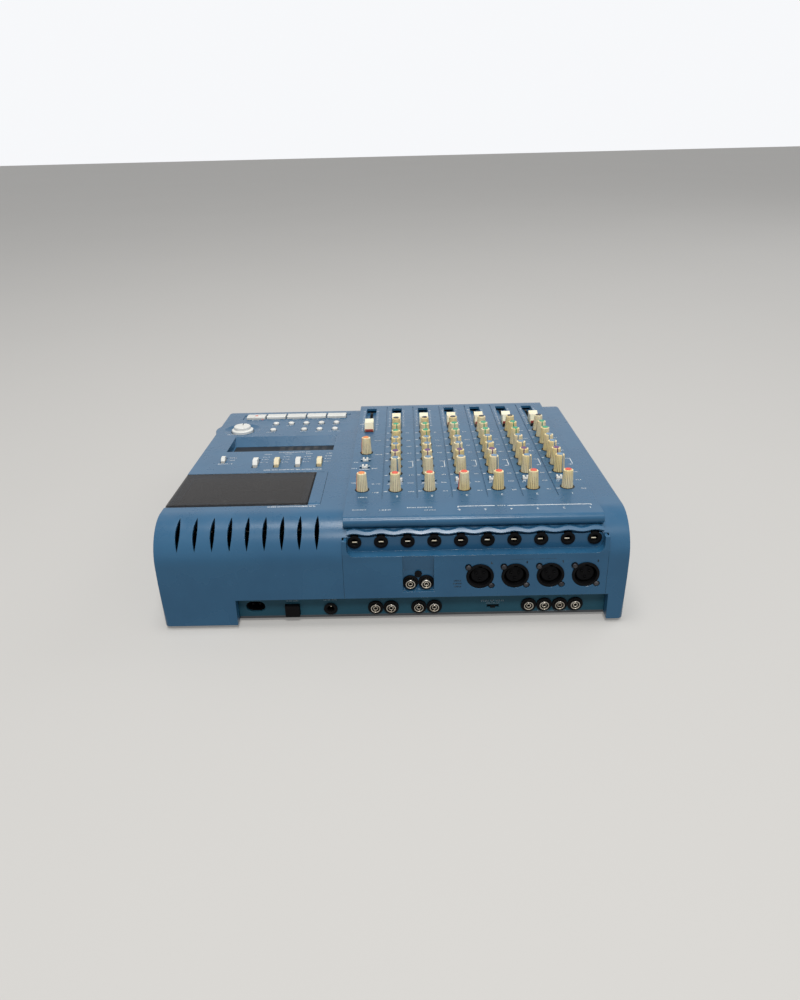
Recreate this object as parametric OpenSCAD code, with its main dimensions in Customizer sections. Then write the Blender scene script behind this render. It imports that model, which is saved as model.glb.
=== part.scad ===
// Four track cassette recorder with a built-in six channel mixer.
// Frame: +X is the user's right, +Y points to the rear connectors, +Z is up.
// The origin is on the surface that the feet stand on, under the middle of the case.

/* [Case] */
// Width of the case between its side walls
case_w = 413; // [400:1:430]
// Depth of the case at its base
case_d = 368; // [360:1:376]
// Height of the rubber feet
foot_h = 4; // [3:0.5:8]
// Thickness of the moulded walls
wall = 3; // [2.5:0.1:3.2]
// Forward lean of the rear wall, in degrees
rear_lean = 4.8; // [4:0.1:5.5]
// Radius where the rear wall rolls over into the top
rear_r = 35.6; // [33:0.1:38]
// Radius of the front edge
front_r = 27; // [22:1:30]
// Radius of the two front corners, seen from above
corner_r = 28; // [20:1:32]

/* [Tape deck side] */
// Slope of the deck surface towards the user, in degrees
deck_tilt = 4.7; // [4.5:0.1:4.9]
// Height of the deck surface above the case bottom, near the rear
deck_z = 93.9; // [92:0.1:96]
// Opening angle of the cassette door, in degrees
door_open = 70; // [45:5:75]
// Radius of the hinge barrel of the cassette door
barrel_r = 4.8; // [4.6:0.1:4.9]
// Width of a transport key
key_w = 22.6; // [20:0.2:23.4]
// Distance from one transport key to the next
key_pitch = 24.9; // [24.5:0.1:25.4]
// Radius of the pitch knob's flange
pitch_r = 12.6; // [11:0.1:12.8]

/* [Mixer side] */
// Slope of the mixer surface towards the user, in degrees
mix_tilt = 4.25; // [4:0.05:4.5]
// Height of the mixer surface above the case bottom, near the rear
mix_z = 94.9; // [94.5:0.1:97]
// Distance from one channel strip to the next
strip_pitch = 32.1; // [31.5:0.1:32.4]
// Radius of a knob at its base
knob_r = 5.5; // [5:0.1:5.8]
// Height of a knob above the panel
knob_h = 16.8; // [14:0.2:20]
// Number of flutes round a knob
knob_flutes = 18; // [12:1:20]
// Travel of a fader
fader_travel = 60; // [45:1:60]
// Width of a fader cap
fader_w = 10; // [8:0.2:10.6]

/* [Rear connectors] */
// Distance from one phone jack to the next
jack_pitch = 23.2; // [22.8:0.1:23.3]
// Bore radius of a phone jack
jack_bore_r = 3.22; // [3.2:0.01:3.25]
// Distance from one three-pin socket to the next
xlr_pitch = 30.8; // [30:0.1:31]
// Radius of the black shell of a three-pin socket
xlr_r = 12; // [11.5:0.1:12.5]
// Outer radius of a phono sleeve
rca_r = 4.15; // [4.1:0.05:4.2]

/* [Hidden] */
$fn = 48;
e = 0.01;

// Plan limits of the case
half_w = case_w / 2;
rear_y = case_d / 2;
front_y = -case_d / 2;

// Reference lines of the two sloping surfaces
deck_y = 145;
mix_y = 125;

// Raised mixer panel, between the deck and the narrow wing
mix_x0 = -184.5;
mix_x1 = 41.3;

// Round edge at the rear of the raised mixer panel
roll_r = 5;
roll_y = 162.3;
mix_front_r = front_r - 4;

// Rear opening: foot blocks at both ends, recessed connector panel between them
recess_x0 = -191.2;
recess_x1 = 139.9;
recess_z = 25.3;
recess_y = 174;
recess_t = 2.5;

// Jack panel and the trough that holds the phone jacks
panel_x0 = -188.4;
panel_x1 = 42.4;
panel_top = 81;
trough_x0 = -184.5;
trough_x1 = 38.5;
trough_y = 169.25;
trough_z = 66.6;
trough_r = 7;
trough_top = 78;
jack_x1 = 31.85;
jack_z = 76.5;
jack_face_r = 5.6;
jack_count = 10;

// Scalloped lip over the jacks: its two wavy edges, where it starts, the space behind it, how proud it stands
lip_low = 84.45;
lip_high = 86.9;
lip_low_wave = 0.62;
lip_high_wave = 0.85;
lip_y = 163;
lip_back = 167.25;
lip_proud = 2.4;

// Three-pin sockets, phono sockets and their pocket
xlr_x1 = -77.4;
xlr_z = 45.3;
xlr_count = 4;
pocket_x0 = -37;
pocket_x1 = -9.6;
pocket_z0 = 31;
pocket_z1 = 66.3;
pocket_y = 175.5;
rca_pitch = 14;
rca_low_z = 10.1;
rca_pocket_z = 38;
rca_pair_x = [15.6, -23.5];
rca_four_x = -122.6;
rca_low_x = concat([for (x = rca_pair_x, k = [0, 1]) x - k * rca_pitch],
                   [for (k = [0:3]) rca_four_x - k * rca_pitch]);
rca_pocket_x = [-16.3, -16.3 - rca_pitch];

// Things in the recessed panel
inlet_x = 124.4;
inlet_z = 12.8;
power_x = 91;
power_z = 8.9;
power_w = 12.8;
power_h = 11.4;
remote_x = 56.4;
remote_z = 9.6;
sync_x = -90.5;
sync_z = 8.8;

// Channel strips: the first is nearest the narrow wing
strip_x1 = -164.5;
channel_count = 6;
row_y = [104.5, 64.2, 45, 24.6, 4.4, -18, -39.8, -61.6];
master_x = 27.2;
master_row_y = [103, 3.2];
groove_off = 12;
fader_cap_l = 20;
fader_y1 = -72.5;
fader_y0 = fader_y1 - fader_travel - fader_cap_l - 1.5;
master_y1 = -63.4;
fader_cap_y = -93;
master_cap_y = -74;
fader_slot_w = 12;
input_y = 84;
input_slot_w = 14.4;
monitor_y = [27, 46.5];
monitor_slot_w = 10.4;
// Where each input switch stands along its slot, channels 2 to 6
input_pos = [3.7, 3.7, 3.7, 0, -3.7];

// Deck controls
pitch_x = 178.6;
pitch_y = -95;
bulge_r = 30.9;
record_x1 = 75.7;
record_pitch = 22.2;
record_y = 20;
rehearsal_x = 178.3;
rehearsal_y = 9;
button_pitch = 18.15;
button_x1 = 68.7;
button_row_y = [-114, -90];
key_x1 = 70.2;
key_y0 = -150.6;
key_y1 = -135.2;
key_travel = 1.2;
display_x0 = 64.8;
display_x1 = 181;
display_y0 = -68;
display_y1 = -17.8;
display_deep = 9;

// Cassette door and compartment, along the deck from its reference line
door_x0 = 64.5;
door_x1 = 206.2;
door_v0 = -97.3;
door_v1 = -15.8;
hinge_v = -20.6;
door_t = 5.5;
window_x0 = 75.7;
well_v0 = -104.4;
window_t = 1.8;
ear_r = 2.6;
pin_r = 1.4;
tape_x0 = 88.5;
tape_x1 = 190.5;
tape_x = (tape_x0 + tape_x1) / 2;
tape_v0 = -91.1;
tape_v1 = -25.9;
floor_w = -18.5;
floor_t = 2;
reel_v = -56.6;
reel_half = 21.25;
capstan_x = tape_x + 33.35;
capstan_v = -84.8;
capstan_r = 1.25;
pinch_r = 6.5;
play_travel = 4;
pinch_v = capstan_v - capstan_r - pinch_r - play_travel - 0.15;
flywheel_r = 22;
motor_x = 104;
motor_v = -85.1;

// Boards and the parts soldered to them
board_w = -14.5;
board_t = 1.6;
main_z = 12;

// The case sits off centre by half of the bulge beside the pitch knob
bulge_out = pitch_x + bulge_r - half_w;
shift_x = -bulge_out / 2;

function strip_x(n) = strip_x1 + (n - 1) * strip_pitch;
function dv(y) = (y - deck_y) / cos(deck_tilt);
function mv(y) = (y - mix_y) / cos(mix_tilt);
function wall_y(z) = rear_y - z * tan(rear_lean);

// ---- frames ----

module case_frame() {
    translate([shift_x, 0, foot_h]) children();
}

module deck_frame() {
    case_frame() translate([0, deck_y, deck_z]) rotate([deck_tilt, 0, 0]) children();
}

module mix_frame() {
    case_frame() translate([0, mix_y, mix_z]) rotate([mix_tilt, 0, 0]) children();
}

module on_deck(x, y) {
    translate([x, dv(y), 0]) children();
}

module on_mix(x, y) {
    translate([x, mv(y), 0]) children();
}

// A box between two corners
module span(a, b) {
    translate(a) cube(b - a);
}

// A side-view outline drawn as (Y, Z), run along X
module along_x(x0, x1) {
    translate([x0, 0, 0]) rotate([90, 0, 90]) linear_extrude(x1 - x0) children();
}

// A round bar along X
module bar_x(x0, x1, r) {
    translate([x0, 0, 0]) rotate([0, 90, 0]) cylinder(h = x1 - x0, r = r);
}

// A round bar along Y, from y0 towards the rear
module bar_y(y0, y1, r) {
    translate([0, y0, 0]) rotate([-90, 0, 0]) cylinder(h = y1 - y0, r = r);
}

// ---- case outline ----

// Rounded edges stand this far proud of the flats they join, so that both cross cleanly
proud = 0.02;

// Side view of the case under a sloping top line, shrunk by inset
module side_outline(inset, low, line_y, line_z, tilt) {
    slope = tan(tilt);
    lean = tan(rear_lean);
    a = rear_y - rear_r / cos(rear_lean);
    b = line_z - slope * line_y - rear_r / cos(tilt);
    cz = (b + slope * a) / (1 + slope * lean);
    cy = a - lean * cz;
    fy = front_y + front_r;
    fz = line_z + slope * (fy - line_y) - front_r / cos(tilt);
    r = rear_r - inset;
    f = front_r - inset;
    wall_pt = [cy + r * cos(rear_lean), cz + r * sin(rear_lean)];
    polygon([
        [front_y + inset, low],
        [wall_pt[0] + (wall_pt[1] - low) * lean, low],
        wall_pt,
        [cy, cz],
        [cy - r * sin(tilt), cz + r * cos(tilt)],
        [fy - f * sin(tilt), fz + f * cos(tilt)],
        [fy, fz],
        [fy - f, fz]
    ]);
    translate([cy, cz]) circle(r + proud, $fn = 96);
    translate([fy, fz]) circle(f + proud, $fn = 72);
}

// Side view of the raised mixer panel, which ends in the roll
module mixer_outline(inset) {
    slope = tan(mix_tilt);
    fy = front_y + mix_front_r;
    fz = mix_z + slope * (fy - mix_y) - mix_front_r / cos(mix_tilt);
    f = mix_front_r - inset;
    r = roll_r - inset;
    ry = roll_y;
    rz = mix_z + slope * (roll_y - mix_y) - roll_r / cos(mix_tilt);
    polygon([
        [front_y + inset, 30],
        [ry - inset, 30],
        [ry - inset, rz],
        [ry, rz],
        [ry - r * sin(mix_tilt), rz + r * cos(mix_tilt)],
        [fy - f * sin(mix_tilt), fz + f * cos(mix_tilt)],
        [fy, fz],
        [fy - f, fz]
    ]);
    translate([ry, rz]) circle(r + proud);
    translate([fy, fz]) circle(f + proud, $fn = 72);
}

// Plan of the case with its round corners
module plan(inset) {
    rear_corner = 5;
    f = corner_r;
    w = half_w - inset;
    y0 = front_y + inset;
    y1 = rear_y - inset;
    fr = f - inset;
    rr = rear_corner - inset;
    translate([-w, y0 + fr]) square([2 * w, y1 - y0 - fr - rr]);
    translate([-w + fr, y0]) square([2 * (w - fr), fr + 1]);
    translate([-w + rr, y1 - rr - 1]) square([2 * (w - rr), rr + 1]);
    for (s = [-1, 1]) {
        translate([s * (w - fr), y0 + fr]) circle(fr, $fn = 72);
        translate([s * (w - rr), y1 - rr]) circle(rr);
    }
}

// Everything inside the outer skin (inset 0) or inside the walls (inset wall)
module case_solid(inset, low) {
    intersection() {
        translate([0, 0, low]) linear_extrude(130) plan(inset);
        union() {
            along_x(-half_w, half_w) side_outline(inset, low, deck_y, deck_z, deck_tilt);
            along_x(mix_x0 + inset, mix_x1 - inset) mixer_outline(inset);
        }
    }
}

// The round swelling of the side wall beside the pitch knob; its hollow stops short of the deck skin
module pitch_swelling(inset) {
    skin_gap = 0.6;
    top = inset > 0 ? inset + skin_gap : 0;
    mid = -22;
    low = -46;
    r = bulge_r - inset;
    flush = half_w - pitch_x - inset - 1;
    on_deck(pitch_x, pitch_y) {
        translate([0, 0, mid]) cylinder(h = -mid - top, r = r, $fn = 96);
        translate([0, 0, low]) cylinder(h = mid - low + e, r1 = flush, r2 = r, $fn = 96);
    }
}

// One lens-shaped cooling slot
module vent() {
    half_l = 16.4;
    half_t = 2.05;
    r = (half_l * half_l + half_t * half_t) / (2 * half_t);
    linear_extrude(16, center = true) intersection() {
        translate([r - half_t, 0]) circle(r, $fn = 160);
        translate([half_t - r, 0]) circle(r, $fn = 160);
    }
}

// Height of a wavy edge that rises in an arch above every jack
function wave(x, height, rise) = height + rise * cos(360 * (x - jack_x1) / jack_pitch);

// Upright prism under the wavy edge, from y0 to y1
module under_wave(height, rise, z0, y0, y1) {
    count = jack_count * 8;
    dx = (trough_x1 - trough_x0) / count;
    edge = [for (i = [0:count]) let (x = trough_x0 + i * dx) [x, wave(x, height, rise)]];
    translate([0, y1, 0]) rotate([90, 0, 0]) linear_extrude(y1 - y0)
        polygon(concat([[trough_x1, z0], [trough_x0, z0]], edge));
}

// Band with two wavy edges, proud of the rounded rear of the case
module scalloped_lip() {
    intersection() {
        difference() {
            under_wave(lip_high, lip_high_wave, panel_top + 1.3, lip_y, rear_y);
            under_wave(lip_low, lip_low_wave, 0, 0, rear_y + 1);
        }
        along_x(trough_x0, trough_x1) side_outline(-lip_proud, 0, deck_y, deck_z, deck_tilt);
    }
}

// ---- case mouldings ----

module cover_cuts() {
    // Rear openings for the jack panel and for the recessed panel
    span([panel_x0 - 0.2, 150, recess_z], [panel_x1 + 0.2, rear_y + 5, panel_top + 0.4]);
    span([recess_x0, recess_y - recess_t - e, -1], [recess_x1, rear_y + 5, recess_z]);
    span([panel_x0 - 0.2, 160, -1], [panel_x1 + 0.2, rear_y + 5, recess_z + e]);
    // Trough above the jack panel, up to the lip, with round upper corners
    intersection() {
        under_wave(lip_low, lip_low_wave, panel_top, lip_back, rear_y + 5);
        union() {
            span([trough_x0 + trough_r, 150, 60], [trough_x1 - trough_r, rear_y + 6, 90]);
            for (x = [trough_x0 + trough_r, trough_x1 - trough_r])
                translate([x, 0, trough_top]) bar_y(150, rear_y + 6, trough_r);
        }
    }
    // Notches over the faces of the jacks, and room for their bodies
    for (i = [0:jack_count - 1]) translate([jack_x1 - i * jack_pitch, 0, jack_z])
        span([-3.4, 160, 3], [3.4, trough_y + 1, jack_face_r + 0.4]);
    span([trough_x0 + 0.6, 140, 60], [trough_x1 + 0.4, trough_y - wall + 0.3, jack_z + 6.9]);
}

module deck_cuts() {
    // Cassette door
    span([door_x0 - 0.3, door_v0 - 0.6, -6], [half_w + 1, door_v1 + 0.5, 6]);
    span([half_w - wall - 1, hinge_v - 1, -7.8], [half_w + 1, door_v1 + 0.5, 0]);
    // Display recess, with a slope on the user's side
    along_x(display_x0, display_x1) polygon([
        [dv(display_y0), e],
        [dv(display_y0) + display_deep, -display_deep],
        [dv(display_y1), -display_deep],
        [dv(display_y1), e]
    ]);
    span([display_x0 + 1.6, dv(display_y0) + display_deep + 1, -20],
         [display_x1 - 1.6, dv(display_y1) - 1.6, -display_deep + e]);
    // Transport keys
    span([key_x1 - key_w / 2 - 5, dv(key_y0) - 1, -0.8],
         [key_x1 + 4 * key_pitch + key_w / 2 + 5, dv(key_y1) + 1, 1]);
    for (i = [0:4])
        span([key_x1 + i * key_pitch - key_w / 2 - 0.35, dv(key_y0) - 0.35, -20],
             [key_x1 + i * key_pitch + key_w / 2 + 0.35, dv(key_y1) + 0.35, 1]);
    // Round buttons
    for (c = [0:4]) on_deck(button_x1 + c * button_pitch, button_row_y[0])
        translate([0, 0, -5]) cylinder(h = 10, r = 4.1);
    for (c = [0, 1, 2, 4]) on_deck(button_x1 + c * button_pitch, button_row_y[1])
        translate([0, 0, -5]) cylinder(h = 10, r = 4.1);
    // Record and rehearsal switches
    for (i = [0:3]) on_deck(record_x1 + i * record_pitch, record_y)
        span([-2.9, -13, -5], [2.9, 13, 5]);
    on_deck(rehearsal_x, rehearsal_y) span([-2.4, -8.5, -5], [2.4, 8.5, 5]);
    // Dish and hole of the pitch knob
    on_deck(pitch_x, pitch_y) {
        translate([0, 0, -2]) cylinder(h = 2 + e, r1 = 15, r2 = 21.5, $fn = 96);
        translate([0, 0, -20]) cylinder(h = 21, r = pitch_r + 0.8, $fn = 72);
    }
}

module mixer_cuts() {
    for (n = [1:channel_count]) {
        for (y = row_y) on_mix(strip_x(n), y)
            translate([0, 0, -5]) cylinder(h = 10, r = knob_r + 0.9);
        span([strip_x(n) - fader_slot_w / 2, mv(fader_y0), -5],
             [strip_x(n) + fader_slot_w / 2, mv(fader_y1), 5]);
        on_mix(strip_x(n), input_y)
            span([-input_slot_w / 2, -2.4, -5], [input_slot_w / 2, 2.4, 5]);
        // Groove beside the strip
        span([strip_x(n) + groove_off - 0.5, mv(-159), -0.8],
             [strip_x(n) + groove_off + 0.5, mv(124.5), 1]);
    }
    for (y = master_row_y) on_mix(master_x, y)
        translate([0, 0, -5]) cylinder(h = 10, r = knob_r + 0.9);
    for (y = monitor_y) on_mix(master_x, y)
        span([-monitor_slot_w / 2, -2.4, -5], [monitor_slot_w / 2, 2.4, 5]);
    span([master_x - fader_slot_w / 2, mv(fader_y0), -5],
         [master_x + fader_slot_w / 2, mv(master_y1), 5]);
}

// Posts under the top that carry the panel boards
module board_posts() {
    for (n = [2, 4, 6], y = [115, 54, -29, -66]) translate([0, 0, board_w]) mix_post(n, y);
}

module mix_post(n, y) {
    on_mix(strip_x(n) + groove_off, y) cylinder(h = -board_w - wall + e, r = 2.6);
}

module top_cover() {
    color("steelblue") difference() {
        union() {
            // Skin of the case, with the swelling beside the pitch knob hollowed along with it
            difference() {
                union() {
                    case_frame() case_solid(0, 0);
                    deck_frame() pitch_swelling(0);
                }
                case_frame() case_solid(wall, -1);
                deck_frame() pitch_swelling(wall);
            }
            // Walls that turn in round the recessed panel
            case_frame() intersection() {
                case_solid(0, 0);
                union() {
                    span([panel_x1 + 0.2, recess_y - recess_t, recess_z],
                         [recess_x1 + wall, rear_y, recess_z + wall]);
                    span([recess_x1, recess_y - recess_t, 0], [recess_x1 + wall, rear_y, recess_z + wall]);
                    span([recess_x0 - wall, recess_y - recess_t, 0], [recess_x0, rear_y, recess_z + wall]);
                }
            }
            // Tub of the display recess
            deck_frame() span([display_x0 - 2, dv(display_y0) - 2, -display_deep - 2],
                              [display_x1 + 2, dv(display_y1) + 2, -wall + e]);
            mix_frame() board_posts();
            deck_frame() for (x = [58, 186], y = [-126, -10])
                on_deck(x, y) translate([0, 0, board_w]) cylinder(h = -board_w - wall + e, r = 2.6);
            case_frame() scalloped_lip();
        }
        case_frame() cover_cuts();
        deck_frame() deck_cuts();
        mix_frame() mixer_cuts();
        // Cooling slots across the rear roll-over
        case_frame() for (i = [0:8])
            translate([64.3 + i * 15.23, 164.6, 84.6]) rotate([-40, 0, 0]) vent();
    }
}

module bottom_cover() {
    post_x = [-150, -40, 60, 170];
    color("dimgray") case_frame() difference() {
        union() {
            intersection() {
                linear_extrude(2.5) plan(wall + 0.3);
                union() {
                    span([-half_w, front_y, 0], [half_w, recess_y - recess_t, 2.5]);
                    span([recess_x0 + 0.2, 160, 0], [recess_x1 - 0.2, recess_y, 2.5]);
                }
            }
            for (x = post_x, y = [-130, 20, 140])
                translate([x, y, 2.4]) cylinder(h = main_z - 2.4, r = 3.5);
        }
        // Cooling slots under the tape deck
        for (i = [0:7]) span([80 + i * 12, -60, -1], [84 + i * 12, -20, 3]);
    }
}

module jack_panel() {
    color("steelblue") case_frame() difference() {
        union() {
            // Leaning plate
            intersection() {
                along_x(panel_x0, panel_x1) polygon([
                    [wall_y(recess_z) - wall, recess_z],
                    [wall_y(recess_z), recess_z],
                    [wall_y(61), 61],
                    [wall_y(61) - 0.35, 69],
                    [wall_y(61) - 2.4, panel_top],
                    [wall_y(61) - 5.4, panel_top],
                    [wall_y(61) - wall, 61]
                ]);
                span([panel_x0, 150, 0], [panel_x1, rear_y, panel_top]);
            }
            // Tub of the jack trough
            span([trough_x0 - 2.5, trough_y - wall, trough_z - wall], [trough_x1 + 2.5, 176.2, panel_top]);
            // Bottom flange over the recessed panel
            span([panel_x0, recess_y - recess_t, recess_z], [panel_x1, 181, recess_z + wall]);
            // Back of the phono pocket
            span([pocket_x0 - 2, pocket_y - 4, pocket_z0 - 2], [pocket_x1 + 2, 178.2, pocket_z1 + 2]);
        }
        // Trough with round ends
        span([trough_x0 + trough_r, trough_y, trough_z], [trough_x1 - trough_r, 190, 90]);
        span([trough_x0, trough_y, trough_z + trough_r], [trough_x1, 190, 90]);
        for (x = [trough_x0 + trough_r, trough_x1 - trough_r])
            translate([x, 0, trough_z + trough_r]) bar_y(trough_y, 190, trough_r);
        for (i = [0:jack_count - 1])
            translate([jack_x1 - i * jack_pitch, 0, jack_z]) bar_y(160, 190, jack_face_r + 0.1);
        // Three-pin sockets with their screw ears
        for (i = [0:xlr_count - 1]) translate([xlr_x1 - i * xlr_pitch, 0, xlr_z]) {
            bar_y(160, 190, xlr_r + 0.1);
            for (s = [-1, 1]) translate([s * 10.2, 0, s * 9.4]) bar_y(160, 190, 2.9);
        }
        // Pocket that deepens downwards
        along_x(pocket_x0, pocket_x1) polygon([
            [wall_y(pocket_z1), pocket_z1],
            [190, pocket_z1],
            [190, pocket_z0],
            [pocket_y, pocket_z0],
            [pocket_y, rca_pocket_z + 12]
        ]);
        for (x = rca_pocket_x) translate([x, 0, rca_pocket_z]) bar_y(160, 190, 6.1);
    }
}

module connector_panel() {
    color("darkslategray") case_frame() difference() {
        span([recess_x0 + 0.2, recess_y - recess_t, 2.5], [recess_x1 - 0.2, recess_y, recess_z]);
        for (x = rca_low_x) translate([x, 0, rca_low_z]) bar_y(165, 180, 6.1);
        translate([remote_x, 0, remote_z]) bar_y(165, 180, jack_face_r + 0.1);
        span([power_x - power_w / 2 - 0.4, 165, power_z - power_h / 2 - 0.4],
             [power_x + power_w / 2 + 0.4, 180, power_z + power_h / 2 + 0.4]);
        translate([inlet_x, 0, inlet_z]) inlet_hole();
        span([sync_x - 5.5, 165, sync_z - 1.8], [sync_x + 5.5, 180, sync_z + 1.8]);
    }
}

// Oval hole of the power inlet
module inlet_hole() {
    for (s = [-1, 1]) translate([s * 3.1, 0, 0]) bar_y(165, 180, 5.7);
    span([-3.1, 165, -5.7], [3.1, 180, 5.7]);
}

module rubber_feet() {
    color("black") for (x = [-175, 175], y = [-150, 150])
        translate([x + shift_x, y, 0]) cylinder(h = foot_h, r1 = 7.4, r2 = 8.5);
}

// ---- connectors ----

// A phone jack: round face, bore and the body behind the panel
module phone_jack() {
    difference() {
        union() {
            bar_y(trough_y - wall - 0.1, trough_y + 1, jack_face_r);
            span([-6.6, trough_y - wall - 18, -6.6], [6.6, trough_y - wall, 6.6]);
        }
        bar_y(trough_y - wall - 17, trough_y + 2, jack_bore_r);
        translate([0, trough_y + 1, 0]) rotate([90, 0, 0])
            cylinder(h = 0.8, r1 = jack_bore_r + 1.1, r2 = jack_bore_r, $fn = 48);
    }
}

module phone_jacks() {
    color("black") case_frame() {
        for (i = [0:jack_count - 1]) translate([jack_x1 - i * jack_pitch, 0, jack_z]) phone_jack();
        translate([remote_x, recess_y - trough_y + wall - recess_t, remote_z]) phone_jack();
    }
}

// A three-pin socket: shell with two screw ears, a groove and a cup with three holes
module xlr_socket() {
    y0 = wall_y(xlr_z);
    difference() {
        union() {
            bar_y(y0 - 20, y0 + 0.6, xlr_r);
            for (s = [-1, 1]) translate([s * 10.2, 0, s * 9.4]) bar_y(y0 - 6, y0 + 0.4, 2.7);
        }
        difference() {
            bar_y(y0 - 14, y0 + 2, xlr_r - 2.2);
            bar_y(y0 - 15, y0 - 2.5, xlr_r - 4.4);
        }
        for (a = [-60, 60, 180]) rotate([0, a, 0]) translate([0, 0, 3.9]) bar_y(y0 - 14, y0, 1.35);
        // Key slot at the top of the shell
        span([-1.6, y0 - 10, xlr_r - 3], [1.6, y0 + 1, xlr_r - 1.2]);
    }
}

module xlr_sockets() {
    color("black") case_frame() for (i = [0:xlr_count - 1])
        translate([xlr_x1 - i * xlr_pitch, 0, xlr_z]) xlr_socket();
}

// Black body of one phono socket, in a panel of thickness t whose front face is at y
module rca_body(y, t) {
    difference() {
        union() {
            bar_y(y - t - e, y + 1.2, 6);
            span([-6.4, y - 14, -6.6], [6.4, y - t, 6.6]);
        }
        bar_y(y - 2, y + 3, rca_r + 0.05);
    }
}

module rca_bodies() {
    color("black") case_frame() {
        for (x = rca_low_x) translate([x, 0, rca_low_z]) rca_body(recess_y, recess_t);
        for (x = rca_pocket_x) translate([x, 0, rca_pocket_z]) rca_body(pocket_y, 4);
        // Screw lobe between the two sockets in the pocket
        translate([-23.3, 0, rca_pocket_z + 8.5]) bar_y(pocket_y, pocket_y + 1.2, 3.2);
    }
}

// Nickel sleeve with the centre contact inside
module rca_shell(y) {
    difference() {
        bar_y(y - 2, y + 7.5, rca_r);
        bar_y(y - 1, y + 8, rca_r - 0.9);
    }
    difference() {
        bar_y(y - 2, y + 5.5, 2.4);
        bar_y(y - 1, y + 8, 1.6);
    }
}

module rca_shells() {
    color("silver") case_frame() {
        for (x = rca_low_x) translate([x, 0, rca_low_z]) rca_shell(recess_y);
        for (x = rca_pocket_x) translate([x, 0, rca_pocket_z]) rca_shell(pocket_y);
    }
}

module power_inlet() {
    y0 = recess_y - recess_t;
    color("black") case_frame() translate([inlet_x, 0, inlet_z]) difference() {
        span([-10.5, y0 - 14, -7.5], [10.5, y0, 7.5]);
        for (s = [-1, 1]) translate([s * 2.9, 0, 0]) bar_y(y0 - 12, y0 + 1, 5.2);
        span([-2.9, y0 - 12, -5.2], [2.9, y0 + 1, 5.2]);
    }
    color("silver") case_frame() for (s = [-1, 1])
        translate([inlet_x + s * 3.2, 0, inlet_z]) bar_y(y0 - 12.5, y0 - 2, 1);
}

// ---- boards and the parts behind the panels ----

module circuit_boards() {
    color("darkgreen") {
        // Main board on the posts of the bottom cover
        case_frame() difference() {
            span([-172, -148, main_z], [190, 146, main_z + board_t]);
            span([70, 52, main_z - 1], [200, 60, main_z + 3]);
        }
        // Mixer board under the mixer panel
        mix_frame() span([-183, mv(-157), board_w - board_t], [37, mv(120), board_w]);
        // Deck board under the keys and the display
        deck_frame() span([50, dv(-154), board_w - board_t], [192, dv(34), board_w]);
    }
    color("dimgray") {
        // Housings of the slide switches
        mix_frame() {
            for (n = [1:channel_count]) on_mix(strip_x(n), input_y)
                span([-8, -3, board_w - e], [8, 3, -8.5]);
            for (y = monitor_y) on_mix(master_x, y) span([-8, -3, board_w - e], [8, 3, -8.5]);
        }
        deck_frame() {
            for (i = [0:3]) on_deck(record_x1 + i * record_pitch, record_y)
                span([-4, -12, board_w - e], [4, 12, -8.5]);
            on_deck(rehearsal_x, rehearsal_y) span([-3.5, -8, board_w - e], [3.5, 8, -8.5]);
            // Push switches of the keys and buttons
            for (i = [0:4]) on_deck(key_x1 + i * key_pitch, (key_y0 + key_y1) / 2)
                span([-3, -3, board_w - e], [3, 3, -10]);
            for (c = [0:4]) on_deck(button_x1 + c * button_pitch, button_row_y[0])
                span([-3, -3, board_w - e], [3, 3, -8]);
            for (c = [0, 1, 2, 4]) on_deck(button_x1 + c * button_pitch, button_row_y[1])
                span([-3, -3, board_w - e], [3, 3, -8]);
            // Bearing of the pitch knob's shaft
            on_deck(pitch_x, pitch_y) difference() {
                translate([0, 0, board_w - e]) cylinder(h = 6.5, r = 6);
                translate([0, 0, board_w + 0.5]) cylinder(h = 8, r = 3.05);
            }
        }
        // Power switch and sync switch behind the recessed panel
        case_frame() {
            difference() {
                span([power_x - 8, 148, 2.5], [power_x + 8, 168, 18]);
                span([power_x - 6.6, 160, power_z - 5.9], [power_x + 6.6, 169, power_z + 5.9]);
            }
            span([sync_x - 7, 160, 2.5], [sync_x + 7, 170.9, 13]);
        }
    }
}

// Body and bushing of one rotary control
module rotary_pot() {
    difference() {
        union() {
            span([-5.4, -5.8, board_w], [5.4, 5.8, -8]);
            translate([0, 0, -8 - e]) cylinder(h = 4, r = 4.3);
        }
        translate([0, 0, -12]) cylinder(h = 9, r = 3.05);
    }
}

module rotary_pots() {
    color("slategray") mix_frame() {
        for (n = [1:channel_count], y = row_y) on_mix(strip_x(n), y) rotary_pot();
        for (y = master_row_y) on_mix(master_x, y) rotary_pot();
    }
}

// Housing of one fader, with a slot for its lever
module slide_pot(x, y0, y1) {
    difference() {
        span([x - 6.4, mv(y0) - 2, board_w], [x + 6.4, mv(y1) + 2, -5.5]);
        span([x - 1.5, mv(y0) + 4, -13], [x + 1.5, mv(y1) - 4, -5]);
    }
}

module slide_pots() {
    color("black") mix_frame() {
        for (n = [1:channel_count]) slide_pot(strip_x(n), fader_y0, fader_y1);
        slide_pot(master_x, fader_y0, master_y1);
    }
}

module display_window() {
    color("black") deck_frame()
        span([display_x0 + 1.6, dv(display_y0) + display_deep + 1, -display_deep - 2],
             [display_x1 - 1.6, dv(display_y1) - 1.6, -display_deep]);
}

module display_module() {
    color("darkslategray") deck_frame()
        span([display_x0 + 6, dv(display_y0) + display_deep + 4, board_w],
             [display_x1 - 6, dv(display_y1) - 4, -display_deep - 2]);
}

// ---- cassette compartment and tape mechanism ----

module hinge_ear(x0, x1) {
    translate([0, hinge_v, -barrel_r]) difference() {
        union() {
            bar_x(x0, x1, ear_r);
            span([x0, -1.7, -6], [x1, 1.7, 0]);
        }
        bar_x(x0 - 1, x1 + 1, pin_r + 0.06);
    }
}

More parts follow.
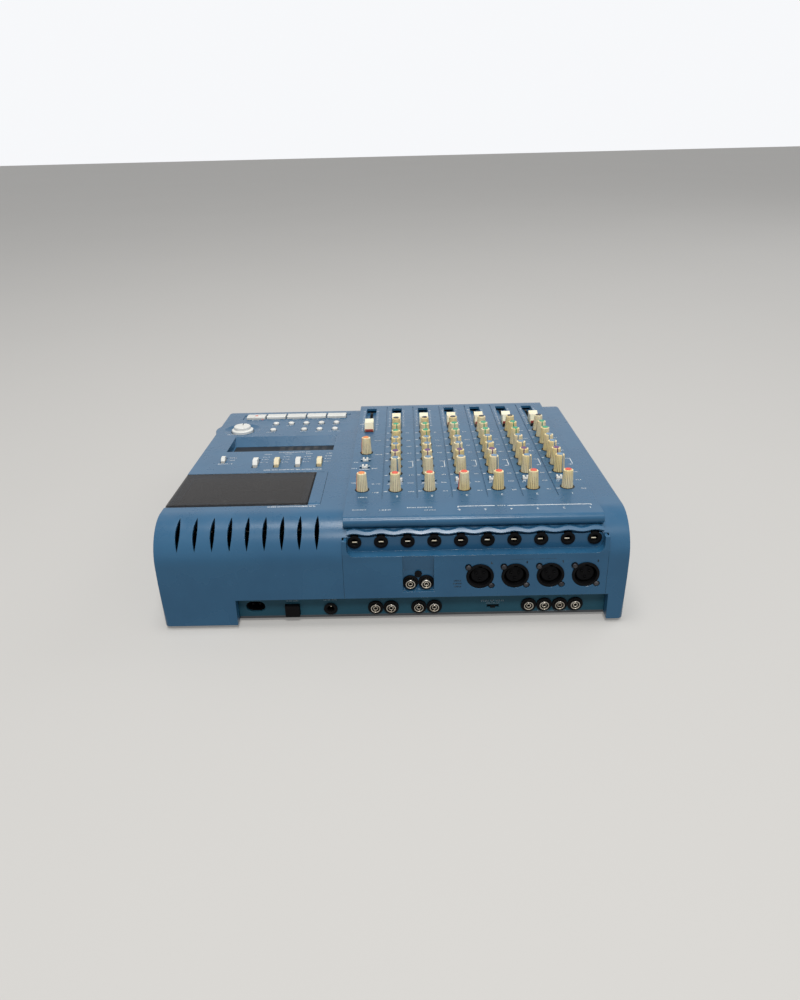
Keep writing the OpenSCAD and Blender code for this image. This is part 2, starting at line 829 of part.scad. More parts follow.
module cassette_well() {
    color("#3b3f44") deck_frame() {
        difference() {
            span([door_x0 - 2.3, well_v0 - 2.6, floor_w - floor_t],
                 [half_w - wall - 0.1, door_v1 + 2.5, -wall]);
            // Room for the door, its barrel, the cassette and the heads
            span([door_x0 - 0.3, door_v0 - 0.6, -8], [half_w - wall - 2, door_v1 + 0.5, 1]);
            span([door_x0 - 0.3, tape_v1, -10.2], [half_w, door_v1 + 0.5, 1]);
            span([tape_x0, tape_v0, floor_w], [tape_x1, tape_v1 + e, 1]);
            span([tape_x - 38, well_v0 - 0.6, floor_w], [tape_x + 44, tape_v0 + e, 1]);
            // Right edge stays below the door
            span([half_w - wall - 2 - e, door_v0 - 0.6, -6], [half_w, door_v1 + 0.5, 1]);
            // Spindle and capstan holes
            for (s = [-1, 1]) translate([tape_x + s * reel_half, reel_v, -30]) cylinder(h = 20, r = 4);
            translate([capstan_x, capstan_v, -30]) cylinder(h = 20, r = 2.6);
        }
        hinge_ear(65, 68);
        hinge_ear(196, 199);
        // Guide posts of the head carriage
        for (x = [tape_x - 30, tape_x + 20])
            translate([x, well_v0 + 5, floor_w - e]) cylinder(h = 3, r = 1.2);
        // Locating pins of the cassette
        for (s = [-1, 1]) translate([tape_x + s * 30, tape_v1 - 12, floor_w - e]) cylinder(h = 3, r = 1.5);
    }
}

// Outline round two pulleys, from tangent to tangent
module pulley_loop(d, r1, r2) {
    a = acos((r1 - r2) / d);
    circle(r1, $fn = 96);
    translate([d, 0]) circle(r2);
    polygon([
        [r1 * cos(a), r1 * sin(a)],
        [d + r2 * cos(a), r2 * sin(a)],
        [d + r2 * cos(a), -r2 * sin(a)],
        [r1 * cos(a), -r1 * sin(a)]
    ]);
}

module mechanism_chassis() {
    plate_w = -33;
    color("silver") deck_frame() difference() {
        union() {
            span([84, -105, plate_w], [198, -29, plate_w + 1.5]);
            // Reel pivots
            for (s = [-1, 1]) translate([tape_x + s * reel_half, reel_v, plate_w])
                cylinder(h = -14 - plate_w, r = 1.5);
            // Thrust bearing of the flywheel
            translate([capstan_x, capstan_v, plate_w]) cylinder(h = 3, r = 4);
            // Legs up to the cassette well
            for (x = [88, 192]) translate([x, -33, plate_w])
                cylinder(h = floor_w - floor_t - plate_w, r = 3);
            translate([88, -101, plate_w]) cylinder(h = floor_w - floor_t - plate_w, r = 3);
        }
        translate([capstan_x, capstan_v, plate_w + 0.5]) cylinder(h = 5, r = capstan_r + 0.05);
    }
    // Drive motor with its pulley
    color("gray") deck_frame() translate([motor_x, motor_v, plate_w]) {
        translate([0, 0, -24]) cylinder(h = 24 + e, r = 15);
        cylinder(h = 8.5, r = 3.4);
    }
    // Flat belt, just clear of the flywheel it drives
    color("black") deck_frame() translate([capstan_x, capstan_v, plate_w + 5])
        rotate([0, 0, atan2(motor_v - capstan_v, motor_x - capstan_x)])
        linear_extrude(2.6) difference() {
            pulley_loop(capstan_x - motor_x, flywheel_r + 1.1, 4.4);
            pulley_loop(capstan_x - motor_x, flywheel_r + 0.35, 3.4);
        }
}

module reel_spindle(s) {
    color("gainsboro") deck_frame() translate([tape_x + s * reel_half, reel_v, 0]) difference() {
        union() {
            translate([0, 0, -24.1]) cylinder(h = 2.2, r = 10);
            translate([0, 0, -25]) cylinder(h = 11.4, r = 3.4);
            translate([0, 0, -13.6 - e]) cylinder(h = 1.2, r1 = 3.4, r2 = 2);
            for (a = [0, 120, 240]) rotate([0, 0, a])
                span([0, -0.7, -17.8], [4.6, 0.7, -13.9]);
            translate([0, 0, -18.2]) cylinder(h = 0.8, r = 6.4);
        }
        translate([0, 0, -26]) cylinder(h = 12.2, r = 1.55);
    }
}

module supply_spindle() {
    reel_spindle(-1);
}

module takeup_spindle() {
    reel_spindle(1);
}

module capstan_flywheel() {
    color("silver") deck_frame() translate([capstan_x, capstan_v, 0]) {
        translate([0, 0, -32.4]) cylinder(h = 23, r = capstan_r);
        difference() {
            translate([0, 0, -29.5]) cylinder(h = 5, r = flywheel_r, $fn = 96);
            // Rim stands proud of the web
            translate([0, 0, -26]) difference() {
                cylinder(h = 3, r = flywheel_r - 4, $fn = 96);
                cylinder(h = 3, r = 4);
            }
        }
    }
}

module pinch_roller() {
    color("#2b2b2b") deck_frame() translate([capstan_x, pinch_v, 0]) difference() {
        translate([0, 0, -16.2]) cylinder(h = 7, r = pinch_r);
        translate([0, 0, -17]) cylinder(h = 10, r = 1.05);
    }
}

module head_carriage() {
    plate_v0 = well_v0 + 0.6;
    color("silver") deck_frame() {
        difference() {
            span([tape_x - 35, plate_v0, floor_w + 0.1], [tape_x + 41, tape_v0 - 3, floor_w + 1.6]);
            // Guide slots
            for (x = [tape_x - 30, tape_x + 20]) translate([x, well_v0 + 5, 0]) {
                span([-1.25, -play_travel, floor_w - 1], [1.25, 0, floor_w + 3]);
                for (t = [0, -play_travel])
                    translate([0, t, floor_w - 1]) cylinder(h = 4, r = 1.25);
            }
        }
        // Axle of the pinch roller with its collar
        translate([capstan_x, pinch_v, floor_w + 1.6 - e]) {
            cylinder(h = 9, r = 1);
            cylinder(h = 0.6, r = 2.4);
        }
        // Record and playback head with its rounded face
        translate([tape_x, tape_v0 - 8.6, floor_w + 1.6 - e]) {
            span([-6, -3, 0], [6, 3.4, 8.6]);
            difference() {
                translate([0, 1.2, 0]) cylinder(h = 8.6, r = 5);
                span([-6, -6, -1], [6, 3, 10]);
            }
        }
        // Erase head
        translate([tape_x - 20, tape_v0 - 7.6, floor_w + 1.6 - e]) span([-4, -3, 0], [4, 3, 8.4]);
    }
}

// ---- cassette door ----

// Everything that may turn with the door without touching the cover
module door_envelope(x0, x1, w0) {
    span([x0, door_v0, w0], [x1, hinge_v, 0]);
    translate([0, hinge_v, -barrel_r]) bar_x(x0, x1, barrel_r);
}

module door_frame() {
    ends = [[door_x0, 68.5], [195.5, door_x1]];
    color("steelblue") deck_frame() difference() {
        union() {
            difference() {
                door_envelope(door_x0, door_x1, -door_t);
                // Rebate that holds the window
                span([window_x0, door_v0 - 1, -window_t], [door_x1 + 1, door_v1 + 1, 1]);
                // Clear view of the cassette
                span([window_x0 + 8, door_v0 + 8, -door_t - 1], [door_x1 - 9, tape_v1 - 3, 1]);
                // Room for the fixed ears, also when the door is open
                for (z = ends) translate([0, hinge_v, -barrel_r]) {
                    bar_x(z[0] - 1, z[1], ear_r + 0.5);
                    rotate([door_open - 25, 0, 0]) span([z[0] - 1, 0, -8], [z[1], 8, 0]);
                    rotate([-20, 0, 0]) span([z[0] - 1, -8, -8], [z[1], 5, 0]);
                }
            }
            // Hinge pins
            translate([0, hinge_v, -barrel_r]) {
                bar_x(65, 69, pin_r);
                bar_x(195, 199, pin_r);
            }
        }
    }
}

module door_window() {
    color([0.16, 0.14, 0.13, 0.75]) deck_frame() intersection() {
        door_envelope(window_x0 + 0.1, door_x1, -barrel_r);
        span([window_x0 + 0.1, door_v0, -window_t], [door_x1, door_v1 + 1, 0]);
    }
}

// ---- knobs, caps and keys ----

// Fluted outline between two radii
module flutes(r_out, r_in, n) {
    step = 360 / n;
    polygon([for (i = [0:n - 1], k = [0:3])
        let (r = k < 2 ? r_out : r_in, a = (i + [0, 0.45, 0.58, 0.87][k]) * step)
        [r * cos(a), r * sin(a)]]);
}

// Fluted, tapered knob on its shaft; the cap is let into the top
module knob(cap_color, turn) {
    base = -2.4;
    rotate([0, 0, turn]) {
        color("#e6dcc0") {
            intersection() {
                translate([0, 0, base]) linear_extrude(knob_h - base)
                    flutes(knob_r + 0.2, knob_r - 1.25, knob_flutes);
                translate([0, 0, base]) cylinder(h = knob_h - base, r1 = knob_r, r2 = knob_r - 1.1);
            }
            translate([0, 0, -8]) cylinder(h = 8 + base + e, r = 3);
        }
        color(cap_color) {
            translate([0, 0, knob_h - e]) cylinder(h = 0.5, r = 3.3);
        }
    }
}

knob_colors = ["#e8513a", "#8fb4cf", "#6b4468", "#8fb4cf", "#8fb4cf", "#3f9c6c", "#3f9c6c", "#2e3033"];

module channel_knobs() {
    mix_frame() for (n = [2:channel_count], r = [0:7])
        on_mix(strip_x(n), row_y[r]) knob(knob_colors[r], 30 * (n + r));
}

module knob_1(r) {
    mix_frame() on_mix(strip_x(1), row_y[r]) knob(knob_colors[r], 30 * r);
}

module knob_1_trim() {
    knob_1(0);
}

module knob_1_high() {
    knob_1(1);
}

module knob_1_mid_freq() {
    knob_1(2);
}

module knob_1_mid() {
    knob_1(3);
}

module knob_1_low() {
    knob_1(4);
}

module knob_1_effect_1() {
    knob_1(5);
}

module knob_1_effect_2() {
    knob_1(6);
}

module knob_1_pan() {
    knob_1(7);
}

module phones_knob() {
    mix_frame() on_mix(master_x, master_row_y[0]) knob("#e8883a", 0);
}

module monitor_knob() {
    mix_frame() on_mix(master_x, master_row_y[1]) knob("#e8883a", 0);
}

// Fader cap with a finger hollow, on the lever that enters the housing
module fader_cap(x, y) {
    w = fader_w / 2;
    l = fader_cap_l / 2;
    color("#e6dcc0") mix_frame() on_mix(x, y) {
        difference() {
            along_x(-w, w) polygon([
                [-l, -2.5],
                [l, -2.5],
                [l, 2],
                [l - 2.6, 10.5],
                [-l + 2.6, 10.5],
                [-l, 2]
            ]);
            translate([0, 0, 22.5]) bar_x(-w - 1, w + 1, 14);
        }
        span([-1.1, -4, -12], [1.1, 4, -2.5 + e]);
    }
}

module fader_1() {
    fader_cap(strip_x(1), fader_cap_y);
}

module fader_2() {
    fader_cap(strip_x(2), fader_cap_y);
}

module fader_3() {
    fader_cap(strip_x(3), fader_cap_y);
}

module fader_4() {
    fader_cap(strip_x(4), fader_cap_y);
}

module fader_5() {
    fader_cap(strip_x(5), fader_cap_y);
}

module fader_6() {
    fader_cap(strip_x(6), fader_cap_y);
}

module fader_master() {
    fader_cap(master_x, master_cap_y);
}

// Ridged cap of a slide switch that moves along X
module switch_cap() {
    color("white") {
        span([-2.8, -2, -4], [2.8, 2, 1.2]);
        for (x = [-1.8, 1.8]) translate([x, 0, 1.2 - e]) along_x(-1, 1)
            polygon([[-2, 0], [2, 0], [1.4, 2], [-1.4, 2]]);
        span([-1.4, -1.4, -8.4], [1.4, 1.4, -4 + e]);
    }
}

module input_switches() {
    mix_frame() for (n = [2:channel_count])
        on_mix(strip_x(n) + input_pos[n - 2], input_y) switch_cap();
}

module input_switch_1() {
    mix_frame() on_mix(strip_x(1) + 3.7, input_y) switch_cap();
}

module monitor_switch_1() {
    mix_frame() on_mix(master_x, monitor_y[0]) switch_cap();
}

module monitor_switch_2() {
    mix_frame() on_mix(master_x, monitor_y[1]) switch_cap();
}

// Sloping slider that moves along the deck
module deck_slider(half_x, half_l, top) {
    along_x(-half_x, half_x) polygon([
        [-half_l, -4],
        [half_l, -4],
        [half_l, 0.8],
        [half_l - 3, top],
        [-half_l + 1.4, top],
        [-half_l, top - 1.6]
    ]);
    span([-1.4, -1.4, -8.4], [1.4, 1.4, -4 + e]);
}

module record_switch(i, shade) {
    color(shade) deck_frame() on_deck(record_x1 + i * record_pitch, record_y) deck_slider(2.5, 6.2, 5);
}

module record_switch_1() {
    record_switch(0, "#efe4c4");
}

module record_switch_2() {
    record_switch(1, "white");
}

module record_switch_3() {
    record_switch(2, "#efe4c4");
}

module record_switch_4() {
    record_switch(3, "white");
}

module rehearsal_switch() {
    color("white") deck_frame() on_deck(rehearsal_x, rehearsal_y) deck_slider(2, 4.4, 4);
}

// Transport key with a raised rear lip and a plunger
module transport_key(i) {
    half_l = (dv(key_y1) - dv(key_y0)) / 2;
    color("whitesmoke") deck_frame() on_deck(key_x1 + i * key_pitch, (key_y0 + key_y1) / 2) {
        along_x(-key_w / 2, key_w / 2) polygon([
            [-half_l, -2],
            [half_l, -2],
            [half_l, 2.2],
            [half_l - 1, 3],
            [-half_l + 2, 2.2],
            [-half_l, 1.2]
        ]);
        span([-2.4, -2.4, -10 + key_travel + 0.3], [2.4, 2.4, -2 + e]);
    }
}

module key_rewind() {
    transport_key(0);
}

module key_forward() {
    transport_key(1);
}

module key_stop() {
    transport_key(2);
}

module key_play() {
    transport_key(3);
}

module key_record() {
    transport_key(4);
}

// Small round button with a slightly domed top
module round_button() {
    color("white") {
        translate([0, 0, -2.5]) cylinder(h = 4, r = 3.4);
        translate([0, 0, 1.5 - e]) cylinder(h = 0.7, r1 = 3.4, r2 = 2.5);
        translate([0, 0, -8]) cylinder(h = 5.6, r = 1.6);
    }
}

module function_buttons() {
    deck_frame() {
        for (c = [0:4]) on_deck(button_x1 + c * button_pitch, button_row_y[0]) round_button();
        for (c = [0, 1, 2, 4]) on_deck(button_x1 + c * button_pitch, button_row_y[1]) round_button();
    }
}

module pitch_knob() {
    color("white") deck_frame() on_deck(pitch_x, pitch_y) {
        rotate_extrude($fn = 72) polygon([
            [0, -3],
            [pitch_r, -3],
            [pitch_r, 0.2],
            [pitch_r - 0.8, 0.8],
            [pitch_r - 2.6, 1.3],
            [pitch_r - 2.9, 4.2],
            [pitch_r - 3.5, 4.8],
            [6, 4.4],
            [0, 4.2]
        ]);
        translate([0, 0, -13.9]) cylinder(h = 11, r = 3);
    }
}

module power_button() {
    travel = 3;
    color("#202225") case_frame() translate([power_x, 0, power_z]) {
        span([-power_w / 2, 164, -power_h / 2], [power_w / 2, recess_y + travel + 0.6, power_h / 2]);
    }
}

module sync_switch() {
    color("black") case_frame() translate([sync_x, 0, sync_z])
        span([-2.2, 171, -1.4], [2.2, recess_y + 0.6, 1.4]);
}

top_cover();
bottom_cover();
jack_panel();
connector_panel();
rubber_feet();
phone_jacks();
xlr_sockets();
rca_bodies();
rca_shells();
power_inlet();
circuit_boards();
rotary_pots();
slide_pots();
display_window();
display_module();
cassette_well();
mechanism_chassis();
channel_knobs();
input_switches();
function_buttons();
door_frame();
door_window();
supply_spindle();
takeup_spindle();
capstan_flywheel();
pinch_roller();
head_carriage();
fader_1();
fader_2();
fader_3();
fader_4();
fader_5();
fader_6();
fader_master();
key_rewind();
key_forward();
key_stop();
key_play();
key_record();
pitch_knob();
power_button();
record_switch_1();
record_switch_2();
record_switch_3();
record_switch_4();
rehearsal_switch();
monitor_switch_1();
monitor_switch_2();
monitor_knob();
phones_knob();
knob_1_trim();
knob_1_high();
knob_1_mid_freq();
knob_1_mid();
knob_1_low();
knob_1_effect_1();
knob_1_effect_2();
knob_1_pan();
input_switch_1();
sync_switch();
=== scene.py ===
import math
import random

import bmesh
import bpy
from mathutils import Matrix, Vector


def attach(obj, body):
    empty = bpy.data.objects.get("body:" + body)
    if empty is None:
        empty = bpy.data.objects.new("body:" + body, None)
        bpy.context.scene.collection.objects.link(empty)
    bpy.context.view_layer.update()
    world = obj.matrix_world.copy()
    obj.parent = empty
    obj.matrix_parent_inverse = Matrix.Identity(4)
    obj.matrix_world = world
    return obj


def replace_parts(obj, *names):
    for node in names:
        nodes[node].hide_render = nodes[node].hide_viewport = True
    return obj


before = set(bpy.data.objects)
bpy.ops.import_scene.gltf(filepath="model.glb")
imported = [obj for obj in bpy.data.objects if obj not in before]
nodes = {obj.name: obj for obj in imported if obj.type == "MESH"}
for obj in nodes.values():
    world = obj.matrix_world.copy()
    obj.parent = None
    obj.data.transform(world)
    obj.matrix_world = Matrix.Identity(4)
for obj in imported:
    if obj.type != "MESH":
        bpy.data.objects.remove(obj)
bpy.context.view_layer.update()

mm = 0.001
shiftX = -1.5                      # the case sits this far off centre, in mm

# The two sloping surfaces: a point on each, and the slope towards the user
deck = {"y": 145.0, "z": 97.9, "tilt": 4.7}
mixer = {"y": 125.0, "z": 98.9, "tilt": 4.25}

layout = {
    "stripX": [-164.5 + 32.1 * n for n in range(6)],
    "rowY": [104.5, 64.2, 45, 24.6, 4.4, -18, -39.8, -61.6],
    "masterX": 27.2,
    "masterRowY": [103, 3.2],
    "faderFront": -154,
    "faderRear": -72.5,
    "masterRear": -63.4,
}


# Shader expressions

class Wire:
    # A shader socket that takes python's own operators; each adds one Math node
    def __init__(self, finish, socket):
        self.finish = finish
        self.socket = socket

    def calc(self, operation, first, second):
        return self.finish.add("Math", {"operation": operation}, {0: first, 1: second})

    def __add__(self, other):
        return self.calc("ADD", self, other)

    def __radd__(self, other):
        return self.calc("ADD", other, self)

    def __sub__(self, other):
        return self.calc("SUBTRACT", self, other)

    def __rsub__(self, other):
        return self.calc("SUBTRACT", other, self)

    def __mul__(self, other):
        return self.calc("MULTIPLY", self, other)

    def __rmul__(self, other):
        return self.calc("MULTIPLY", other, self)


class Finish:
    # A material, or the given world, and the nodes that make it up
    def __init__(self, name, owner=None):
        self.material = owner or bpy.data.materials.new(name)
        self.material.use_nodes = True
        self.tree = self.material.node_tree
        self.tree.nodes.clear()

    def add(self, kind, settings=None, values=None, out=0):
        node = self.tree.nodes.new("ShaderNode" + kind)
        for key, value in (settings or {}).items():   # set before the sockets
            setattr(node, key, value)
        for key, value in (values or {}).items():
            socket = node.inputs[key]
            if isinstance(value, Wire):
                self.tree.links.new(value.socket, socket)
            elif isinstance(value, (tuple, list)) and len(value) == 3 and socket.type == "RGBA":
                socket.default_value = (*value, 1)
            else:
                socket.default_value = value
        return Wire(self, node.outputs[out]) if len(node.outputs) else None

    def place(self, scale=1.0, stretch=(1, 1, 1)):
        spot = self.add("TexCoord", out="Object")
        return self.add("Mapping", {}, {"Vector": spot, "Scale": [scale * s for s in stretch]})

    def noise(self, scale, detail=3.0, rough=0.5, stretch=(1, 1, 1)):
        return self.add("TexNoise", {}, {"Vector": self.place(scale, stretch), "Scale": 1.0,
                                         "Detail": detail, "Roughness": rough}, "Fac")

    def blend(self, share, first, second):
        return self.add("Mix", {"data_type": "RGBA"}, {0: share, 6: first, 7: second}, 2)

    def between(self, value, low, high):     # 0 at low, 1 at high, smooth
        return self.add("MapRange", {"interpolation_type": "SMOOTHSTEP"},
                        {"Value": value, "From Min": low, "From Max": high})

    def rounding(self, radius):              # the surface normal as if every edge were rounded
        return self.add("Bevel", {"samples": 4}, {"Radius": radius})

    def edges(self, rounded):                # bright along sharp edges
        flat = self.add("NewGeometry", out="Normal")
        turn = self.add("VectorMath", {"operation": "DOT_PRODUCT"}, {0: rounded, 1: flat}, "Value")
        return self.between(turn, 0.995, 0.86)

    def upward(self):
        normal = self.add("NewGeometry", out="Normal")
        return self.add("SeparateXYZ", {}, {0: normal}, 2)

    def bump(self, height, distance, strength=1.0, normal=None):
        values = {"Height": height, "Distance": distance, "Strength": strength}
        if normal:
            values["Normal"] = normal
        return self.add("Bump", {}, values)

    def surface(self, **sockets):
        shader = self.add("BsdfPrincipled", {}, sockets)
        self.add("OutputMaterial", {}, {"Surface": shader})
        return self.material


def plastic(name, look):
    # Moulded plastic: grain, slow tint changes, dust on what faces up, and edges paler in patches,
    # partly wear from handling and partly painted highlight
    f = Finish(name)
    rounded = f.rounding(look.get("round", 0.0004))
    edge = f.edges(rounded)
    cloud = f.noise(look.get("cloud", 22), 4)
    grain = f.noise(look.get("grain", 2600), 2, 0.6)
    tone = f.blend(f.between(cloud, 0.32, 0.7), look["dark"], look["color"])
    # Paler edges: partly wear, partly a painted highlight along each edge
    wear = edge * f.between(f.noise(160, 3), 0.25, 0.7) * look.get("wear", 0.35)
    tone = f.blend(wear, tone, look.get("edge", look["color"]))
    dust = f.between(f.upward(), 0.55, 1.0) * f.between(f.noise(70, 6, 0.65), 0.4, 0.8)
    tone = f.blend(dust * look.get("dust", 0.12), tone, (0.5, 0.48, 0.44))
    rough = look["rough"] + cloud * 0.08 - edge * 0.06 + dust * 0.12
    return f.surface(**{
        "Base Color": tone, "Roughness": rough,
        "Specular IOR Level": look.get("gloss", 0.5),
        "Coat Weight": look.get("coat", 0.0), "Coat Roughness": look.get("coatRough", 0.3),
        "Normal": f.bump(grain, look.get("depth", 0.00003), look.get("strength", 0.5), rounded)})


def metal(name, look):
    # Turned or brushed metal with fine lines and finger marks
    f = Finish(name)
    rounded = f.rounding(0.00015)
    lines = f.noise(900, 2, 0.6, look.get("stretch", (1, 14, 1)))
    marks = f.noise(140, 5)
    tone = f.blend(f.between(marks, 0.3, 0.75), look["dark"], look["color"])
    rough = look["rough"] + lines * 0.16 + marks * 0.08
    return f.surface(**{
        "Base Color": tone, "Metallic": 1.0, "Roughness": rough,
        "Normal": f.bump(lines, 0.00001, 0.5, rounded)})


def creamKnob(name, look):
    # Ivory knobs that have yellowed unevenly, with grime down in the flutes and a painted highlight
    # along their edges
    f = Finish(name)
    rounded = f.rounding(0.00025)
    edge = f.edges(rounded)
    ageing = f.between(f.noise(look["patch"], 1), 0.38, 0.62)
    tone = f.blend(ageing, look["pale"], look["yellow"])
    low = f.add("AmbientOcclusion", {"samples": 4, "only_local": True}, {"Distance": 0.0009}, "AO")
    grime = (1 - f.between(low, 0.4, 0.78)) * f.between(f.noise(240, 4), 0.05, 0.6)
    tone = f.blend(grime * look["soil"], tone, look["grime"])
    # Edges paler all round: a painted highlight along them
    tone = f.blend(edge * 0.35, tone, look["edge"])
    grain = f.noise(3000, 2, 0.6)
    rough = 0.42 + grime * 0.2 - edge * 0.08
    return f.surface(**{
        "Base Color": tone, "Roughness": rough, "Subsurface Weight": 0.04,
        "Subsurface Scale": 0.001, "Normal": f.bump(grain, 0.00002, 0.4, rounded)})


def smoked(name, look):
    # Smoke-tinted window, lightly scratched, seen through
    f = Finish(name)
    rounded = f.rounding(0.0003)
    haze = f.noise(28, 4)
    scratch = f.noise(900, 2, 0.7, (1, 0.04, 1))
    fine = f.between(scratch, 0.62, 0.78)
    rough = look["rough"] + f.between(haze, 0.35, 0.75) * 0.06 + fine * 0.12
    return f.surface(**{
        "Base Color": f.blend(haze, look["dark"], look["color"]), "Roughness": rough,
        "Alpha": look["cover"] + fine * 0.06, "Specular IOR Level": 0.16,
        "Normal": f.bump(scratch, 0.000004, 0.4, rounded)})


def board(name, look):
    # Solder mask over copper tracks, with tinned pads; black housings at the rear
    f = Finish(name)
    spot = f.place(1.0)
    rear = f.between(f.add("SeparateXYZ", {}, {0: spot}, 1), look["rear"], look["rear"] + 0.0005)
    tracks = f.add("TexBrick", {"offset": 0.5, "squash": 0.6, "squash_frequency": 3},
                   {"Vector": spot, "Scale": 90.0, "Mortar Size": 0.03, "Mortar Smooth": 0.1,
                    "Brick Width": 0.9, "Row Height": 0.22}, "Fac")
    pads = f.add("TexVoronoi", {}, {"Vector": spot, "Scale": 210.0, "Randomness": 0.25}, "Distance")
    pad = 1 - f.between(pads, 0.16, 0.2)
    tone = f.blend(tracks, look["mask"], look["track"])
    tone = f.blend(pad, tone, look["pad"])
    tone = f.blend(rear, tone, look["housing"])
    return f.surface(**{
        "Base Color": tone, "Roughness": 0.34 + f.noise(60) * 0.1, "Metallic": pad * (1 - rear),
        "Normal": f.bump(tracks + pad * 2, 0.00004, 0.6)})


looks = {
    "caseBlue": {"color": (0.024, 0.108, 0.212), "dark": (0.019, 0.094, 0.190),
                 "edge": (0.10, 0.23, 0.36), "rough": 0.23, "wear": 0.4, "dust": 0.03,
                 "gloss": 0.38, "round": 0.0006, "strength": 0.16},
    "deepTeal": {"color": (0.018, 0.084, 0.125), "dark": (0.014, 0.068, 0.104),
                 "edge": (0.05, 0.13, 0.18), "rough": 0.42, "gloss": 0.2, "dust": 0.02},
    "baseGrey": {"color": (0.060, 0.066, 0.072), "dark": (0.044, 0.048, 0.053),
                 "edge": (0.14, 0.14, 0.15), "rough": 0.5, "dust": 0.04, "grain": 1500},
    "footRubber": {"color": (0.030, 0.030, 0.030), "dark": (0.020, 0.020, 0.021),
                   "rough": 0.78, "gloss": 0.25, "dust": 0.3, "grain": 1400},
    "connectorBlack": {"color": (0.005, 0.005, 0.006), "dark": (0.0035, 0.0035, 0.004),
                       "edge": (0.014, 0.014, 0.015), "rough": 0.48, "wear": 0.2, "gloss": 0.07,
                       "dust": 0.01, "round": 0.0003},
    "faderBlack": {"color": (0.018, 0.019, 0.022), "dark": (0.010, 0.011, 0.013),
                   "edge": (0.07, 0.07, 0.08), "rough": 0.6, "dust": 0.25},
    "displayBlack": {"color": (0.016, 0.021, 0.027), "dark": (0.011, 0.014, 0.018),
                     "rough": 0.42, "gloss": 0.15, "dust": 0.02, "depth": 0.000004},
    "wellGrey": {"color": (0.046, 0.043, 0.040), "dark": (0.028, 0.026, 0.024),
                 "edge": (0.12, 0.115, 0.105), "rough": 0.5, "dust": 0.1},
    "buttonWhite": {"color": (0.78, 0.785, 0.755), "dark": (0.70, 0.70, 0.66),
                    "edge": (0.88, 0.88, 0.86), "rough": 0.36, "dust": 0.03, "round": 0.0005},
    "spindleWhite": {"color": (0.60, 0.59, 0.55), "dark": (0.52, 0.505, 0.46),
                     "edge": (0.72, 0.71, 0.68), "rough": 0.4, "dust": 0.05},
    "rollerRubber": {"color": (0.030, 0.027, 0.026), "dark": (0.018, 0.016, 0.016),
                     "rough": 0.62, "gloss": 0.3, "dust": 0.08},
    "printWhite": {"color": (0.84, 0.86, 0.86), "dark": (0.72, 0.76, 0.78),
                   "rough": 0.5, "dust": 0.0, "cloud": 260},
    "printPale": {"color": (0.26, 0.38, 0.45), "dark": (0.20, 0.30, 0.37),
                  "rough": 0.5, "dust": 0.0, "cloud": 260},
    "printDark": {"color": (0.012, 0.026, 0.036), "dark": (0.008, 0.018, 0.026),
                  "rough": 0.5, "dust": 0.0, "cloud": 260},
    "capRed": {"color": (0.78, 0.105, 0.055), "dark": (0.66, 0.08, 0.045),
               "rough": 0.4, "dust": 0.04},
    "capOrange": {"color": (0.82, 0.27, 0.075), "dark": (0.72, 0.22, 0.06),
                  "rough": 0.4, "dust": 0.04},
    "capBlue": {"color": (0.17, 0.28, 0.41), "dark": (0.13, 0.23, 0.34),
                "rough": 0.4, "dust": 0.04},
    "capPurple": {"color": (0.15, 0.062, 0.18), "dark": (0.115, 0.045, 0.14),
                  "rough": 0.4, "dust": 0.04},
    "capGreen": {"color": (0.045, 0.36, 0.20), "dark": (0.035, 0.30, 0.165),
                 "rough": 0.4, "dust": 0.04},
    "capBlack": {"color": (0.030, 0.030, 0.032), "dark": (0.020, 0.020, 0.022),
                 "rough": 0.42, "dust": 0.08},
    "faderRed": {"color": (0.30, 0.030, 0.018), "dark": (0.22, 0.022, 0.014),
                 "rough": 0.42, "dust": 0.03},
    "lampRed": {"color": (0.42, 0.02, 0.03), "dark": (0.30, 0.014, 0.02), "rough": 0.15,
                "coat": 0.5, "coatRough": 0.1, "dust": 0.0},
}
finishes = {name: plastic(name, look) for name, look in looks.items()}
finishes["nickel"] = metal("nickel", {"color": (0.66, 0.62, 0.54), "dark": (0.40, 0.36, 0.30),
                                      "rough": 0.16, "stretch": (1, 10, 1)})
finishes["contact"] = metal("contact", {"color": (0.86, 0.82, 0.70), "dark": (0.66, 0.58, 0.42),
                                        "rough": 0.2})
finishes["potSteel"] = metal("potSteel", {"color": (0.50, 0.50, 0.50), "dark": (0.33, 0.33, 0.34),
                                          "rough": 0.34, "stretch": (12, 1, 1)})
finishes["mechanismSteel"] = metal("mechanismSteel", {
    "color": (0.52, 0.46, 0.37), "dark": (0.33, 0.27, 0.20), "rough": 0.3, "stretch": (14, 1, 1)})
finishes["screwSteel"] = metal("screwSteel", {
    "color": (0.10, 0.10, 0.105), "dark": (0.035, 0.035, 0.04), "rough": 0.36})
finishes["knobCream"] = creamKnob("knobCream", {
    "pale": (0.92, 0.81, 0.54), "yellow": (0.92, 0.74, 0.36), "grime": (0.17, 0.12, 0.07),
    "edge": (0.92, 0.88, 0.74), "patch": 33, "soil": 0.7})
finishes["faderCream"] = creamKnob("faderCream", {
    "pale": (0.90, 0.86, 0.66), "yellow": (0.88, 0.80, 0.56), "grime": (0.34, 0.28, 0.19),
    "edge": (0.86, 0.84, 0.75), "patch": 21, "soil": 0.5})
finishes["switchCream"] = creamKnob("switchCream", {
    "pale": (0.80, 0.72, 0.50), "yellow": (0.76, 0.64, 0.38), "grime": (0.34, 0.26, 0.14),
    "edge": (0.84, 0.79, 0.62), "patch": 40, "soil": 0.4})
finishes["smokedWindow"] = smoked("smokedWindow", {
    "color": (0.022, 0.019, 0.017), "dark": (0.014, 0.012, 0.011), "rough": 0.10, "cover": 0.68})
finishes["boardGreen"] = board("boardGreen", {
    "mask": (0.018, 0.13, 0.05), "track": (0.035, 0.20, 0.075), "pad": (0.55, 0.53, 0.47),
    "rear": 0.147, "housing": (0.006, 0.006, 0.007)})
